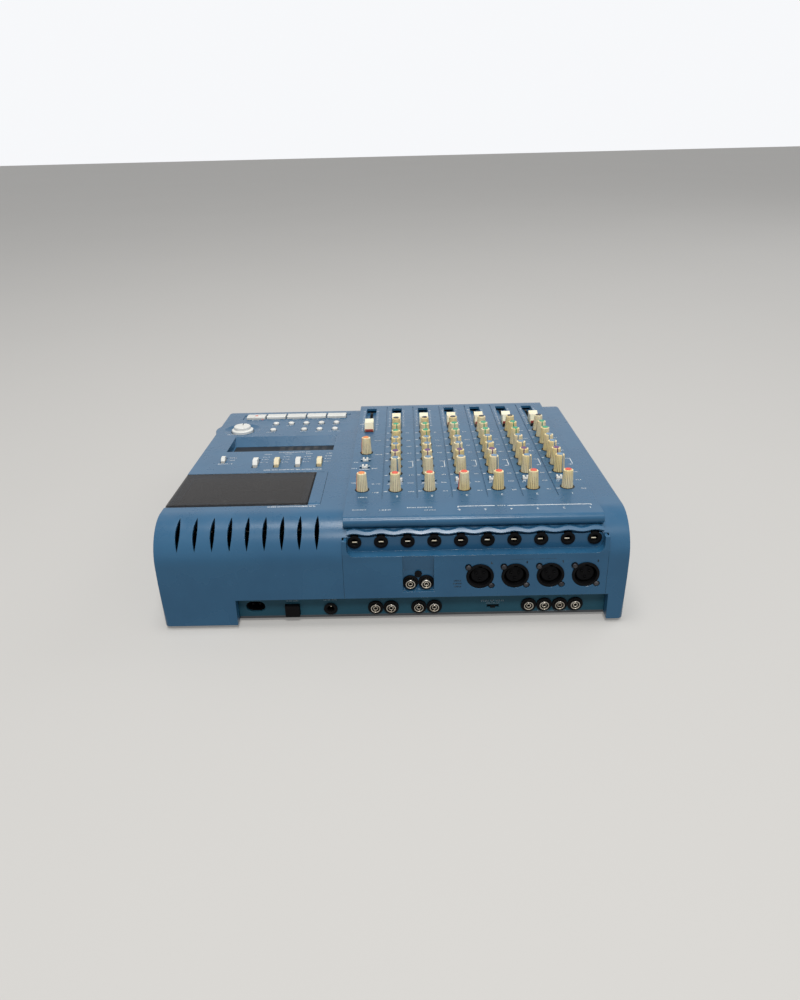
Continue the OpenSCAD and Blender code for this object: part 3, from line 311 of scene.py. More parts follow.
print("finishes made:", len(finishes))

dressing = {
    "caseBlue": ["top_cover", "jack_panel", "door_frame"],
    "deepTeal": ["connector_panel"],
    "baseGrey": ["bottom_cover"],
    "footRubber": ["rubber_feet"],
    "connectorBlack": ["phone_jacks", "xlr_sockets", "rca_bodies", "power_inlet",
                       "power_button", "sync_switch"],
    "nickel": ["rca_shells"],
    "boardGreen": ["circuit_boards", "display_module"],
    "potSteel": ["rotary_pots"],
    "faderBlack": ["slide_pots"],
    "displayBlack": ["display_window"],
    "wellGrey": ["cassette_well"],
    "mechanismSteel": ["mechanism_chassis", "capstan_flywheel", "head_carriage"],
    "rollerRubber": ["pinch_roller"],
    "spindleWhite": ["supply_spindle", "takeup_spindle"],
    "smokedWindow": ["door_window"],
    "knobCream": ["channel_knobs", "phones_knob", "monitor_knob"]
                 + [n for n in nodes if n.startswith("knob_1_")],
    "faderCream": [n for n in nodes if n.startswith("fader_")],
    "switchCream": ["record_switch_1", "record_switch_3"],
    "buttonWhite": ["input_switches", "input_switch_1", "monitor_switch_1", "monitor_switch_2",
                    "record_switch_2", "record_switch_4", "rehearsal_switch", "function_buttons",
                    "pitch_knob"] + [n for n in nodes if n.startswith("key_")],
}
for finish, names in dressing.items():
    for name in names:
        slots = nodes[name].data.materials
        slots.clear()
        slots.append(finishes[finish])
print("nodes dressed:", sum(len(names) for names in dressing.values()), "of", len(nodes))


# Places and mesh pieces

def on(surface, x, y, lift=0.0, turn=0.0):
    # The spot on a sloping surface above (x, y), in mm, with Z along the surface's normal
    tilt = math.radians(surface["tilt"])
    run = (y - surface["y"]) / math.cos(tilt)
    origin = Vector((x + shiftX, surface["y"] + run * math.cos(tilt) - lift * math.sin(tilt),
                     surface["z"] + run * math.sin(tilt) + lift * math.cos(tilt)))
    return (Matrix.Translation(origin) @ Matrix.Rotation(tilt, 4, "X")
            @ Matrix.Rotation(turn, 4, "Z"))


def facing(x, y, z, lean=0.0):
    # A spot on a face that looks to the rear: X to the right of who looks at it, Y up, Z outwards
    return (Matrix.Translation(Vector((x + shiftX, y, z + 4)))
            @ Matrix.Rotation(math.pi, 4, "Z") @ Matrix.Rotation(math.radians(90 - lean), 4, "X"))


printLook = {"under": -0.06, "proud": 0.03,     # how far a print reaches into and over its surface
             "spread": 0.12, "letters": 1.18, "stroke": 0.32, "digitDepth": 0.04}


class Piece:
    # Gathers solids, in mm, into one mesh
    def __init__(self, name):
        self.name = name
        self.mesh = bmesh.new()

    def settle(self, verts, place, smooth=False):
        bmesh.ops.transform(self.mesh, matrix=place, verts=verts)
        if smooth:
            for face in {f for v in verts for f in v.link_faces}:
                face.smooth = True

    def slab(self, place, x0, x1, y0, y1, z0, z1, round=0.0):
        # Block between six faces, with its edges rounded where a radius is given
        made = bmesh.ops.create_cube(self.mesh, size=1)["verts"]
        for v in made:
            v.co.x = x1 if v.co.x > 0 else x0
            v.co.y = y1 if v.co.y > 0 else y0
            v.co.z = z1 if v.co.z > 0 else z0
        if round:
            edges = list({e for v in made for e in v.link_edges})
            result = bmesh.ops.bevel(self.mesh, geom=edges, offset=round, segments=2, profile=0.6,
                                     affect="EDGES", clamp_overlap=True)
            made = result["verts"]
        self.settle(made, place)

    def ring(self, r, z, steps):
        turns = [2 * math.pi * i / steps for i in range(steps)]
        return [self.mesh.verts.new((r * math.cos(t), r * math.sin(t), z)) for t in turns]

    def turned(self, place, profile, steps=32):
        # Closed solid of revolution round Z; the profile starts and ends on the axis
        rings = [self.ring(r, z, steps) if r > 0 else self.ring(0, z, 1) for r, z in profile]
        for a, b in zip(rings, rings[1:]):
            for i in range(steps):
                j = (i + 1) % steps
                if len(a) == 1:
                    self.mesh.faces.new((a[0], b[i], b[j]))
                elif len(b) == 1:
                    self.mesh.faces.new((a[i], b[0], a[j]))
                else:
                    self.mesh.faces.new((a[i], b[i], b[j], a[j]))
        self.settle([v for ring in rings for v in ring], place, True)

    def hoop(self, place, profile, steps=32):
        # Closed ring round Z from a closed outline of (r, z)
        rings = [self.ring(r, z, steps) for r, z in profile]
        for k, a in enumerate(rings):
            b = rings[(k + 1) % len(rings)]
            for i in range(steps):
                j = (i + 1) % steps
                self.mesh.faces.new((a[i], b[i], b[j], a[j]))
        self.settle([v for ring in rings for v in ring], place, True)

    def printed(self, place, x0, x1, y0, y1):
        self.slab(place, x0, x1, y0, y1, printLook["under"], printLook["proud"])

    def dash(self, surface, x, y, length, width):
        half = width / 2 + printLook["spread"]
        self.printed(on(surface, x, y), -length / 2, length / 2, -half, half)

    def marks(self, place, length, height, draw):
        # A short printed legend: strokes with no meaning, the size and rhythm of small letters
        x = -length / 2
        h = height * printLook["letters"]
        pen = h * printLook["stroke"]
        while x < length / 2 - h * 0.4:
            w = h * draw.uniform(0.42, 0.7)
            for left, right, low, high in draw.choice([
                    [(0, pen, 0, h), (0, w, 0, pen)],
                    [(0, pen, 0, h), (w - pen, w, 0, h), (0, w, h / 2, h / 2 + pen)],
                    [(0, w, 0, pen), (0, w, h - pen, h), (0, pen, 0, h)],
                    [(w / 2, w / 2 + pen, 0, h), (0, w, h - pen, h)]]):
                self.printed(place, x + left, x + right, low - h / 2, high - h / 2)
            x += w + h * 0.24
            if draw.random() < 0.14:             # now and then a gap between two groups
                x += h * 0.35

    def done(self, finish, body):
        bmesh.ops.recalc_face_normals(self.mesh, faces=self.mesh.faces[:])
        bmesh.ops.scale(self.mesh, vec=(mm, mm, mm), verts=self.mesh.verts[:])
        data = bpy.data.meshes.new(self.name)
        self.mesh.to_mesh(data)
        self.mesh.free()
        thing = bpy.data.objects.new(self.name, data)
        bpy.context.scene.collection.objects.link(thing)
        data.materials.append(finishes[finish])
        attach(thing, body)
        return thing


# Knob caps and pointer lines

capLook = {
    "rows": ["capRed", "capBlue", "capPurple", "capBlue", "capBlue",
             "capGreen", "capGreen", "capBlack"],
    "rowNames": ["trim", "high", "mid_freq", "mid", "low", "effect_1", "effect_2", "pan"],
    "capR": 3.05,
    "capTop": 17.75,
    "lineWidth": 1.0,
    # Black ring at the knob's foot: the hole round the shaft, widened with painted shade
    "foot": [(5.68, -0.4), (5.68, 0.12), (5.95, 0.26), (6.65, 0.2), (6.85, 0), (6.85, -0.4)],
    "masterTurn": {"phones_knob": 12, "monitor_knob": 20},
    # Where each pointer line looks, in degrees from +X; 90 is the rear
    "rest": [-90, 118, 90, 110, 90, 90, 95, -90],
    "swing": [7, 8, 10, 16, 10, 8, 9, 14],
    # Knobs that stand otherwise, by channel and row counted from 0
    "odd": {(3, 0): 12, (0, 5): 200, (5, 5): 230, (4, 1): -30, (3, 1): 190, (2, 3): 60},
}


def addCap(piece, surface, x, y, angle):
    look = capLook
    top = look["capTop"]
    r = look["capR"]
    place = on(surface, x, y, 0, math.radians(angle))
    piece.turned(place, [(0, top - 1.2), (r, top - 1.2), (r, top - 0.35), (r - 0.12, top - 0.12),
                         (r - 0.4, top), (r - 1.0, top - 0.12), (0, top - 0.3)], 36)
    half = look["lineWidth"] / 2
    # Line over the rim and down the flank, following the taper
    flank = [(2.6, top - 0.36), (3.4, top - 0.38), (3.45, top - 0.86), (4.56, top - 0.9),
             (5.2, 8.6), (5.62, 0.4), (5.0, 0.4), (4.2, 8.4), (2.6, top - 2.4)]
    left = [piece.mesh.verts.new((px, -half, pz)) for px, pz in flank]
    right = [piece.mesh.verts.new((px, half, pz)) for px, pz in flank]
    piece.mesh.faces.new(left)
    piece.mesh.faces.new(right[::-1])
    for i in range(len(flank)):
        j = (i + 1) % len(flank)
        piece.mesh.faces.new((left[i], right[i], right[j], left[j]))
    piece.settle(left + right, place)


draw = random.Random(11)
angles = {}
for n in range(6):
    for r in range(8):
        swing = capLook["swing"][r]
        angles[n, r] = capLook["odd"].get((n, r), capLook["rest"][r] + draw.uniform(-swing, swing))

for r, row in enumerate(capLook["rowNames"]):
    still = Piece("knobCaps_" + row)
    for n in range(1, 6):
        addCap(still, mixer, layout["stripX"][n], layout["rowY"][r], angles[n, r])
    still.done(capLook["rows"][r], "case")
    moving = Piece("knobCap_1_" + row)
    addCap(moving, mixer, layout["stripX"][0], layout["rowY"][r], angles[0, r])
    moving.done(capLook["rows"][r], "knob_1_" + row)
for (body, angle), y in zip(capLook["masterTurn"].items(), layout["masterRowY"]):
    cap = Piece("cap_" + body)
    addCap(cap, mixer, layout["masterX"], y, angle)
    cap.done("capOrange", body)
print("knob caps made")


# Fader caps: a dark red band at both ends over a black foot, which is painted shadow beneath the
# cap; index line on top

faderLook = {
    "bodies": ["fader_%d" % (n + 1) for n in range(6)] + ["fader_master"],
    "x": layout["stripX"] + [layout["masterX"]],
    "capY": [-93] * 6 + [-74],
    "slotRear": [layout["faderRear"]] * 6 + [layout["masterRear"]],
    "half": 4.6,                      # of the red band
    "end": 10.0, "shoulder": 2.0, "slant": 17,   # where the cap's end face leans inwards
    "band": (9.7, 10.2, 0.5, 2.02), "slope": (-0.5, 0.2, -0.05, 1.5),
    "foot": (9.5, 10.25, -2.4, 0.5, 0.1), "footSide": 0.3,
    "line": (-4.4, 4.4, -0.35, 0.35, 8.1, 8.62, 0.08),
    "liners": [(1.7, -5.48, -5.1), (5.35, -5.3, -3.0)],    # inner edge, foot and top
    "linerHalf": 6.0, "linerSoft": 0.12, "play": 0.3,
}
for body, x, y in zip(faderLook["bodies"], faderLook["x"], faderLook["capY"]):
    place = on(mixer, x, y)
    skirt = Piece("faderSkirt_" + body)
    foot = Piece("faderFoot_" + body)
    half = faderLook["half"]
    for turn in (0, math.pi):
        face = place @ Matrix.Rotation(turn, 4, "Z")
        slant = (face @ Matrix.Translation((0, faderLook["end"], faderLook["shoulder"]))
                 @ Matrix.Rotation(math.radians(faderLook["slant"]), 4, "X"))
        skirt.slab(face, -half, half, *faderLook["band"])
        skirt.slab(slant, -half, half, *faderLook["slope"])
        # The black foot under each end is painted shadow, where the cap's shade falls into the slot
        foot.slab(face, -half - faderLook["footSide"], half + faderLook["footSide"],
                  *faderLook["foot"])
    skirt.done("faderRed", body)
    foot.done("capBlack", body)
    line = Piece("faderLine_" + body)
    line.slab(place, *faderLook["line"])
    line.done("buttonWhite", body)
print("fader caps dressed")

# Blue liners beside each fader's slit, and the black ring at the foot of every knob, which stands
# for the hole round its shaft and paints the shade around it
liners = Piece("faderLiners")
for x, rear in zip(faderLook["x"], faderLook["slotRear"]):
    y0 = layout["faderFront"] + faderLook["play"]
    y1 = rear - faderLook["play"]
    place = on(mixer, x, (y0 + y1) / 2)
    run = (y1 - y0) / 2 / math.cos(math.radians(mixer["tilt"]))
    for side in (-1, 1):
        for inner, low, high in faderLook["liners"]:
            x0, x1 = sorted((side * inner, side * faderLook["linerHalf"]))
            liners.slab(place, x0, x1, -run, run, low, high, faderLook["linerSoft"])
liners.done("caseBlue", "case")

# Painted shade: a black ring round each knob's foot, wider than its hole
rings = Piece("knobRings")
spots = [(x, y) for x in layout["stripX"] for y in layout["rowY"]]
for x, y in spots + [(layout["masterX"], y) for y in layout["masterRowY"]]:
    rings.hoop(on(mixer, x, y), capLook["foot"])
rings.done("connectorBlack", "case")


# Printed legends: plain lines, meaningless strokes and plain numbers

ink = random.Random(5)
printTurn = math.pi                   # the strokes stand upright to a viewer behind the case


def legend(piece, surface, x, y, length, height):
    piece.marks(on(surface, x, y, 0, printTurn), length, height, ink)


stripLegend = {                       # in mm from the strip's centre: x, y, length
    "rowWords": [(-14.6, 5.2, 5.0), (-15.4, 4.6, 4.6), (-15.2, 3.0, 4.4), (-15.0, 7.4, 4.4),
                 (-14.2, 3.2, 5.4), (-13.8, 4.7, 4.8), (-13.6, 8.0, 5.0), (-12.6, 3.0, 4.2)],
    "leftDashes": [(9.2, 4.0, 3.2), (9.4, 4.4, 2.8), None, (9.4, 3.6, 2.8),
                   (9.4, 3.6, 2.8), (9.4, 4.4, 2.8), (9.4, 4.4, 2.8), (9.4, 3.0, 2.6)],
    "rangeX": -17.2, "rangeY": 38.8, "rangeLong": 15.0,
    "sourceX": -5.2, "sourceDashY": 88.4, "sourceWordX": -6.2, "sourceWordY": 91.4,
    "sourceNameX": -14.4, "sourceNameY": 88.8,
}
faderScale = {"aside": 8.2, "first": 12, "long": 2.6, "short": 1.5, "width": 0.6,
              "channel": {"marks": 11, "step": 5.8, "every": 5},
              "master": {"marks": 12, "step": 6.4, "every": 4}}
masterLegend = {
    "words": [(-9.6, -91.4, 4.4), (9.6, -92.7, 4.4), (-11.0, -34.3, 8.0), (-13.2, 9.9, 8.0),
              (9.4, 31.3, 4.6), (-10.0, 49.1, 6.4), (10.4, 48.0, 5.6), (9.0, 86.1, 5.4),
              (-12.6, 89.7, 8.0), (-13.2, 110.4, 7.0), (-1.6, 121.0, 9.0), (-22.3, 149.4, 10.0)],
    "switchLinesY": [22.4, 42.0, 51.0],
}
jackLegend = {                        # x, y, length and height
    "bracket": [(-140, 144.8, 73.0, 0.8), (-76, 144.4, 33.0, 0.8),
                (-59.8, 145.8, 0.8, 2.4), (-177.2, 145.8, 0.8, 2.4)],
    "words": [(-98.0, 144.6, 7.0, 1.5), (-26.1, 145.4, 23.0, 1.5),
              (-34.7, 151.3, 10.0, 1.3), (27.9, 148.3, 12.0, 1.3)],
}


def addFaderScale(piece, x, scale):
    for k in range(scale["marks"]):
        y = layout["faderFront"] + faderScale["first"] + k * scale["step"]
        length = faderScale["long"] if k % scale["every"] == 0 else faderScale["short"]
        for side in (-1, 1):
            piece.dash(mixer, x + side * faderScale["aside"], y, length, faderScale["width"])


mixerPrint = Piece("mixerPrint")
for sx in layout["stripX"]:
    for y, word, dash in zip(layout["rowY"], stripLegend["rowWords"], stripLegend["leftDashes"]):
        legend(mixerPrint, mixer, sx + word[0], y + word[1], word[2], 1.5)
        if dash:
            mixerPrint.dash(mixer, sx + dash[0], y + dash[1], dash[2], 0.8)
    # Range mark of the frequency knob, and the source switch's three places
    mixerPrint.dash(mixer, sx + stripLegend["rangeX"], stripLegend["rangeY"],
                    0.7, stripLegend["rangeLong"])
    for k in (1, 0, -1):
        mixerPrint.dash(mixer, sx + k * stripLegend["sourceX"], stripLegend["sourceDashY"],
                        3.2, 0.7)
        legend(mixerPrint, mixer, sx + k * stripLegend["sourceWordX"],
               stripLegend["sourceWordY"], 3.2, 1.2)
    legend(mixerPrint, mixer, sx + stripLegend["sourceNameX"], stripLegend["sourceNameY"], 6.0, 1.5)
    addFaderScale(mixerPrint, sx, faderScale["channel"])
addFaderScale(mixerPrint, layout["masterX"], faderScale["master"])
for dx, y, length in masterLegend["words"]:
    legend(mixerPrint, mixer, layout["masterX"] + dx, y, length, 1.6)
for y in masterLegend["switchLinesY"]:
    mixerPrint.dash(mixer, layout["masterX"], y, 10.4, 0.7)
for x, y, length, width in jackLegend["bracket"]:
    mixerPrint.dash(mixer, x, y, length, width)
for x, y, length, height in jackLegend["words"]:
    legend(mixerPrint, mixer, x, y, length, height)
mixerPrint.done("printWhite", "case")


def digits(name, xs, y, size):
    # Plain numbers counted from 1, read from the user's side
    whole = bmesh.new()
    for n, x in enumerate(xs):
        text = str(n + 1)
        curve = bpy.data.curves.new(name + text, "FONT")
        curve.body = text
        curve.size = size * mm
        curve.align_x = "CENTER"
        curve.align_y = "CENTER"
        curve.extrude = printLook["digitDepth"] * mm
        letter = bpy.data.objects.new(name + text, curve)
        bpy.context.scene.collection.objects.link(letter)
        bpy.context.view_layer.update()
        shape = letter.evaluated_get(bpy.context.evaluated_depsgraph_get())
        data = bpy.data.meshes.new_from_object(shape)
        place = on(mixer, x, y)
        place.translation = place.translation * mm
        data.transform(place)
        bpy.data.objects.remove(letter)
        whole.from_mesh(data)
    bmesh.ops.remove_doubles(whole, verts=whole.verts[:], dist=1e-7)
    mesh = bpy.data.meshes.new(name)
    whole.to_mesh(mesh)
    whole.free()
    thing = bpy.data.objects.new(name, mesh)
    bpy.context.scene.collection.objects.link(thing)
    mesh.materials.append(finishes["printWhite"])
    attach(thing, "case")


numberLook = {                        # the places along x, y and size
    "channelNumbers": ([x - 1.6 for x in layout["stripX"]], 120.0, 5.2),
    "jackNumbers": ([-175.2 + 22.96 * n for n in range(6)], 151.6, 5.0),
}
for name, (xs, y, size) in numberLook.items():
    digits(name, xs, y, size)

deckLegend = {
    "switchX": [75.7 + 22.2 * n for n in range(4)],
    "switchName": (-8.4, -7.2, 7.0, 1.5),        # from the switch: x, y, length, height
    "switchPlaces": [1.4, 8.6, 17.1],
    "keyX": [70.2 + 24.9 * n for n in range(5)],
    "keyY": -131.4,
    "words": [(101.0, 39.4, 60, 1.6), (174.1, 19.3, 16, 1.6), (169.0, 1.8, 9, 1.3),
              (169.6, 8.6, 7, 1.2), (181.7, -77.0, 22, 1.3), (143.0, -83.2, 11, 1.3),
              (105.4, -83.2, 7, 1.2), (87.0, -83.2, 8, 1.2), (68.6, -83.2, 14, 1.2),
              (142.0, -107.7, 7, 1.2), (124.1, -107.7, 9, 1.2), (105.4, -107.7, 7, 1.2),
              (87.0, -107.7, 7, 1.2), (68.8, -107.7, 8, 1.2), (106.0, -12.7, 34, 1.3),
              (90.0, 132.5, 44, 1.5)],
    "wordScale": 1.15,
}
deckPrint = Piece("deckPrint")
for x in deckLegend["switchX"]:
    dx, y, length, height = deckLegend["switchName"]
    legend(deckPrint, deck, x + dx, y, length, height)
    for y in deckLegend["switchPlaces"]:
        legend(deckPrint, deck, x - 9.2, y, 4.6, 1.2)
        deckPrint.dash(deck, x - 5.0, y, 1.6, 0.7)
for x, y, length, height in deckLegend["words"]:
    legend(deckPrint, deck, x, y, length, height * deckLegend["wordScale"])
for x in deckLegend["keyX"]:
    legend(deckPrint, deck, x, deckLegend["keyY"], 9, 1.1)
deckPrint.done("printWhite", "case")

# The leaning rear plate and the recess below it, in mm
rear = {"y": 184, "lean": 4.8, "recessY": 174, "pocketY": 175.5, "troughY": 169.25}
sockets = {"x": [-77.4 - 30.8 * n for n in range(4)], "z": 45.3, "screwX": 10.2, "screwZ": 9.4,
           "screw": [(0, -0.5), (2.3, -0.5), (2.3, 0.2), (1.9, 0.62), (0.9, 0.8), (0, 0.82)],
           "cross": (1.3, 0.22, 0.6, 0.92, 0.05),
           "holes": [-60, 60, 180], "holeR": 3.9,
           "hole": [(0.85, -4.0), (0.85, -0.7), (1.3, -0.7), (1.3, -4.0)]}


def plateY(z):
    return rear["y"] - z * math.tan(math.radians(rear["lean"]))


def onRear(x, z):
    return facing(x, plateY(z), z, rear["lean"])


rearLegend = {                        # lines from x to x; words as x, z, length and height
    "lines": [(-77.2, -102.0), (-146.0, -181.0)], "lineZ": 62.4, "lineHalf": 0.3,
    "words": [(-124, 62.4, 40, 1.7)] + [(x - 10.5, 58.6, 2.2, 2.0) for x in sockets["x"]]
             + [(-58.1, 41.5, 7.0, 1.2), (-58.1, 38.6, 8.0, 1.2), (-58.1, 35.6, 6.0, 1.2)],
}
rearPrint = Piece("rearPrint")
for x0, x1 in rearLegend["lines"]:
    half = (x0 - x1) / 2
    rearPrint.printed(onRear((x0 + x1) / 2, rearLegend["lineZ"]), -half, half,
                      -rearLegend["lineHalf"], rearLegend["lineHalf"])
for x, z, length, height in rearLegend["words"]:
    rearPrint.marks(onRear(x, z), length, height, ink)
rearPrint.done("printDark", "case")

recessLegend = [(-90.5, 14.6, 22, 1.6), (-90.5, 12.2, 12, 1.2), (-144.0, 2.8, 26, 1.3),
                (-24.5, 3.6, 9, 1.3), (16.0, 3.6, 9, 1.3), (-30.5, 20.2, 10, 1.4),
                (8.6, 20.2, 10, 1.4), (56.4, 19.0, 12, 1.3), (91.0, 18.6, 11, 1.3),
                (124.4, 21.8, 12, 1.2), (-143.6, 20.6, 30, 1.3)]
recessPrint = Piece("recessPrint")
for x, z, length, height in recessLegend:
    recessPrint.marks(facing(x, rear["recessY"], z), length, height, ink)
recessPrint.done("printPale", "case")
print("legends printed")


# Rear connectors

jackLook = {"x": [31.85 - 23.2 * n for n in range(10)], "z": 76.5, "remoteX": 56.4, "remoteZ": 9.6,
            "rim": [(3.26, 0.9), (3.26, 1.12), (3.34, 1.2), (6.1, 1.2), (6.2, 1.12), (6.2, 0.9)],
            "springAt": (0, -2.0, -3.0), "springLean": -22,
            "spring": (-2.2, 2.2, -0.5, 0.5, -0.3, 0.3, 0.12),
            "remoteSpring": (-0.9, 0.9, -1.0, 0.9, -3.6, -3.0, 0.12)}
leaves = Piece("jackContacts")
washers = Piece("jackRims")
for x in jackLook["x"]:
    spot = facing(x, rear["troughY"], jackLook["z"])
    # Tip spring that shows as a glint in the bore
    tilted = (spot @ Matrix.Translation(jackLook["springAt"])
              @ Matrix.Rotation(math.radians(jackLook["springLean"]), 4, "X"))
    leaves.slab(tilted, *jackLook["spring"])
    washers.hoop(spot, jackLook["rim"], 40)
spot = facing(jackLook["remoteX"], rear["recessY"], jackLook["remoteZ"])
leaves.slab(spot, *jackLook["remoteSpring"])
washers.hoop(spot, jackLook["rim"], 40)
leaves.done("contact", "case")
washers.done("connectorBlack", "case")

# Short phono sleeves in their black collars; the part's own reach further out
phonoLook = {"lowX": [15.6, 1.6, -23.5, -37.5, -122.6, -136.6, -150.6, -164.6],
             "lowZ": 10.1, "lowReach": 3.2,
             "pocketX": [-16.3, -30.3], "pocketZ": 38, "pocketReach": 5.0,
             "collar": [(4.3, 0), (4.3, 1.25), (4.5, 1.5), (6.6, 1.5), (6.95, 1.2), (6.95, 0)]}
sleeves = Piece("phonoSleeves")
collars = Piece("phonoCollars")
phonoSpots = [(facing(x, rear["recessY"], phonoLook["lowZ"]), phonoLook["lowReach"])
              for x in phonoLook["lowX"]]
phonoSpots += [(facing(x, rear["pocketY"], phonoLook["pocketZ"]), phonoLook["pocketReach"])
               for x in phonoLook["pocketX"]]
for spot, reach in phonoSpots:
    sleeves.hoop(spot, [(3.5, -1.0), (3.5, reach - 0.15), (3.65, reach), (4.05, reach),
                        (4.25, reach - 0.25), (4.25, -1.0)], 40)
    sleeves.hoop(spot, [(1.5, -1.0), (1.5, reach - 0.9), (1.65, reach - 0.7), (2.05, reach - 0.7),
                        (2.2, reach - 0.9), (2.2, -1.0)], 32)
    collars.hoop(spot, [(2.22, -1.0), (2.22, reach - 1.3), (3.45, reach - 1.3), (3.45, -1.0)], 40)
    collars.hoop(spot, phonoLook["collar"], 40)
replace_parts(sleeves.done("nickel", "case"), "rca_shells")
collars.done("connectorBlack", "case")


def addScrew(piece, spot, head, cross, turn):
    # The cross on the head: half its length and width, its foot and top, its rounding
    piece.turned(spot, head, 28)
    x, y, z0, z1, soft = cross
    for a in (turn, turn + math.pi / 2):
        piece.slab(spot @ Matrix.Rotation(a, 4, "Z"), -x, x, -y, y, z0, z1, soft)


screws = Piece("socketScrews")
tongues = Piece("socketContacts")
y = plateY(sockets["z"])
for x in sockets["x"]:
    for side in (-1, 1):
        spot = facing(x + side * sockets["screwX"], y + 0.4,
                      sockets["z"] + side * sockets["screwZ"])
        addScrew(screws, spot, sockets["screw"], sockets["cross"], 0.5)
    for a in sockets["holes"]:
        dx = sockets["holeR"] * math.sin(math.radians(a))
        dz = sockets["holeR"] * math.cos(math.radians(a))
        tongues.hoop(facing(x + dx, y, sockets["z"] + dz), sockets["hole"], 20)
screws.done("screwSteel", "case")
tongues.done("connectorBlack", "case")
print("rear connectors detailed")


# Deck details

lampLook = {"x": 161.5, "y": -132.8,
            "dome": [(0, -1.5), (1.5, -1.5), (1.5, 0.1), (1.1, 0.5), (0.5, 0.66), (0, 0.7)]}
lamp = Piece("recordLamp")
lamp.turned(on(deck, lampLook["x"], lampLook["y"]), lampLook["dome"], 28)
lamp.done("lampRed", "case")

dotLook = {"x": deckLegend["keyX"][4], "y": -140.7,
           "disc": [(0, 2.2), (1.9, 2.2), (1.9, 2.86), (1.6, 2.94), (0, 2.94)]}
dot = Piece("recordDot")
dot.turned(on(deck, dotLook["x"], dotLook["y"]), dotLook["disc"], 28)
dot.done("capRed", "key_record")

meterLook = {"depth": -9, "under": -0.05, "proud": 0.02,
             "barX": [78 + 9.5 * n for n in range(6)], "barY": [-54 + 2.9 * n for n in range(12)],
             "barSize": (2.8, 0.9),
             "figureX": [141, 149, 160, 168], "figureY": -38, "width": 2.4, "height": 4.4,
             "flat": (2.0, 0.4), "upright": (0.4, 1.8)}
meter = Piece("displaySegments")


def addSegment(x, y, size):
    meter.slab(on(deck, x, y, meterLook["depth"]), -size[0], size[0], -size[1], size[1],
               meterLook["under"], meterLook["proud"])


for x in meterLook["barX"]:
    for y in meterLook["barY"]:
        addSegment(x, y, meterLook["barSize"])
for x in meterLook["figureX"]:
    y = meterLook["figureY"]
    w = meterLook["width"]
    h = meterLook["height"]
    for dy in (h, 0, -h):
        addSegment(x, y + dy, meterLook["flat"])
    for dy in (h / 2, -h / 2):
        for dx in (-w, w):
            addSegment(x + dx, y + dy, meterLook["upright"])
meter.done("faderBlack", "case")

pitchLook = {"x": 178.6, "y": -95, "turn": -90, "block": (4.2, 8.9, -0.4, 0.4, 3.6, 4.95, 0.1)}
notch = Piece("pitchMark")
notch.slab(on(deck, pitchLook["x"], pitchLook["y"], 0, math.radians(pitchLook["turn"])),
           *pitchLook["block"])
notch.done("faderBlack", "pitch_knob")

# Black strip flush with the door: painted shade of the gap where the window ends against the door
gapShadeLook = {"x": 75.7, "y": 88.8, "block": (-0.1, 1.5, -39.3, 38, -0.5, 0.05)}
gapShade = Piece("windowGap")
gapShade.slab(on(deck, gapShadeLook["x"], gapShadeLook["y"]), *gapShadeLook["block"])
gapShade.done("connectorBlack", "cassette_door")
print("deck details made")


# Inside the cassette compartment

wellLook = {"tapeX": 139.5, "reelV": -56.6, "reelPitch": 42.5, "floor": -18.5,
            "ribX": [-40 + 16 * n for n in range(6)], "ribV": -67.1,
            "rib": (-0.9, 0.9, -6, 6, -0.1, 1.2, 0.25),
            "reelRim": [(12.5, -0.1), (12.5, 0.9), (13.6, 0.9), (13.6, -0.1)]}


def inWell(x, v, w):
    # Along the deck's slope: v towards the rear, w up, from the deck's own point
    tilt = math.radians(deck["tilt"])
    return (Matrix.Translation(Vector((wellLook["tapeX"] + x + shiftX, deck["y"], deck["z"])))
            @ Matrix.Rotation(tilt, 4, "X") @ Matrix.Translation(Vector((0, v, w))))


springLook = {"x": [-26, 26], "foot": -18.4,
              "leafV": -37.1, "leaf": (-2.2, 2.2, -8, 8, 0, 0.8, 0.2),
              "padV": -28.6, "pad": (-3.4, 3.4, -1.2, 1.2, 0, 2.4, 0.3)}
springs = Piece("holderSprings")
for x in springLook["x"]:
    springs.slab(inWell(x, springLook["leafV"], springLook["foot"]), *springLook["leaf"])
    springs.slab(inWell(x, springLook["padV"], springLook["foot"]), *springLook["pad"])
springs.done("mechanismSteel", "case")

ribs = Piece("wellRibs")
for x in wellLook["ribX"]:
    ribs.slab(inWell(x, wellLook["ribV"], wellLook["floor"]), *wellLook["rib"])
for side in (-0.5, 0.5):
    place = inWell(side * wellLook["reelPitch"], wellLook["reelV"], wellLook["floor"])
    ribs.hoop(place, wellLook["reelRim"], 48)
ribs.done("wellGrey", "case")

shieldLook = {"foot": -16.9,           # x and v of each head, and the block over it
              "heads": [(0, -99.7, (-7.4, 7.4, -2.3, 2.3, 0, 8.9, 0.4)),
                        (-20, -98.9, (-4.6, 4.6, -2.2, 2.2, 0, 8.7, 0.4))]}
shield = Piece("headShield")
for x, v, block in shieldLook["heads"]:
    shield.slab(inWell(x, v, shieldLook["foot"]), *block)
shield.done("nickel", "head_carriage")
print("cassette compartment detailed")


# Underside screws

baseScrews = {"x": [-150, -40, 60, 170], "y": [-130, 20, 140], "z": 4,
              "head": [(0, -0.4), (3.4, -0.4), (3.4, 0.5), (2.6, 1.2), (0, 1.4)],
              "cross": (1.7, 0.3, 1.0, 1.5, 0.08)}
under = Piece("baseScrews")
for x in baseScrews["x"]:
    for y in baseScrews["y"]:
        spot = Matrix.Translation(Vector((x + shiftX, y, baseScrews["z"])))
        spot = spot @ Matrix.Rotation(math.pi, 4, "X")
        addScrew(under, spot, baseScrews["head"], baseScrews["cross"], 0.3)
under.done("screwSteel", "case")


# Floor, light and camera

stageLook = {"floor": (0.62, 0.61, 0.59), "bounce": (0.36, 0.35, 0.34), "sky": (0.93, 0.94, 0.96),
             "skyLight": 0.34, "glow": 0.30, "size": 6.0}


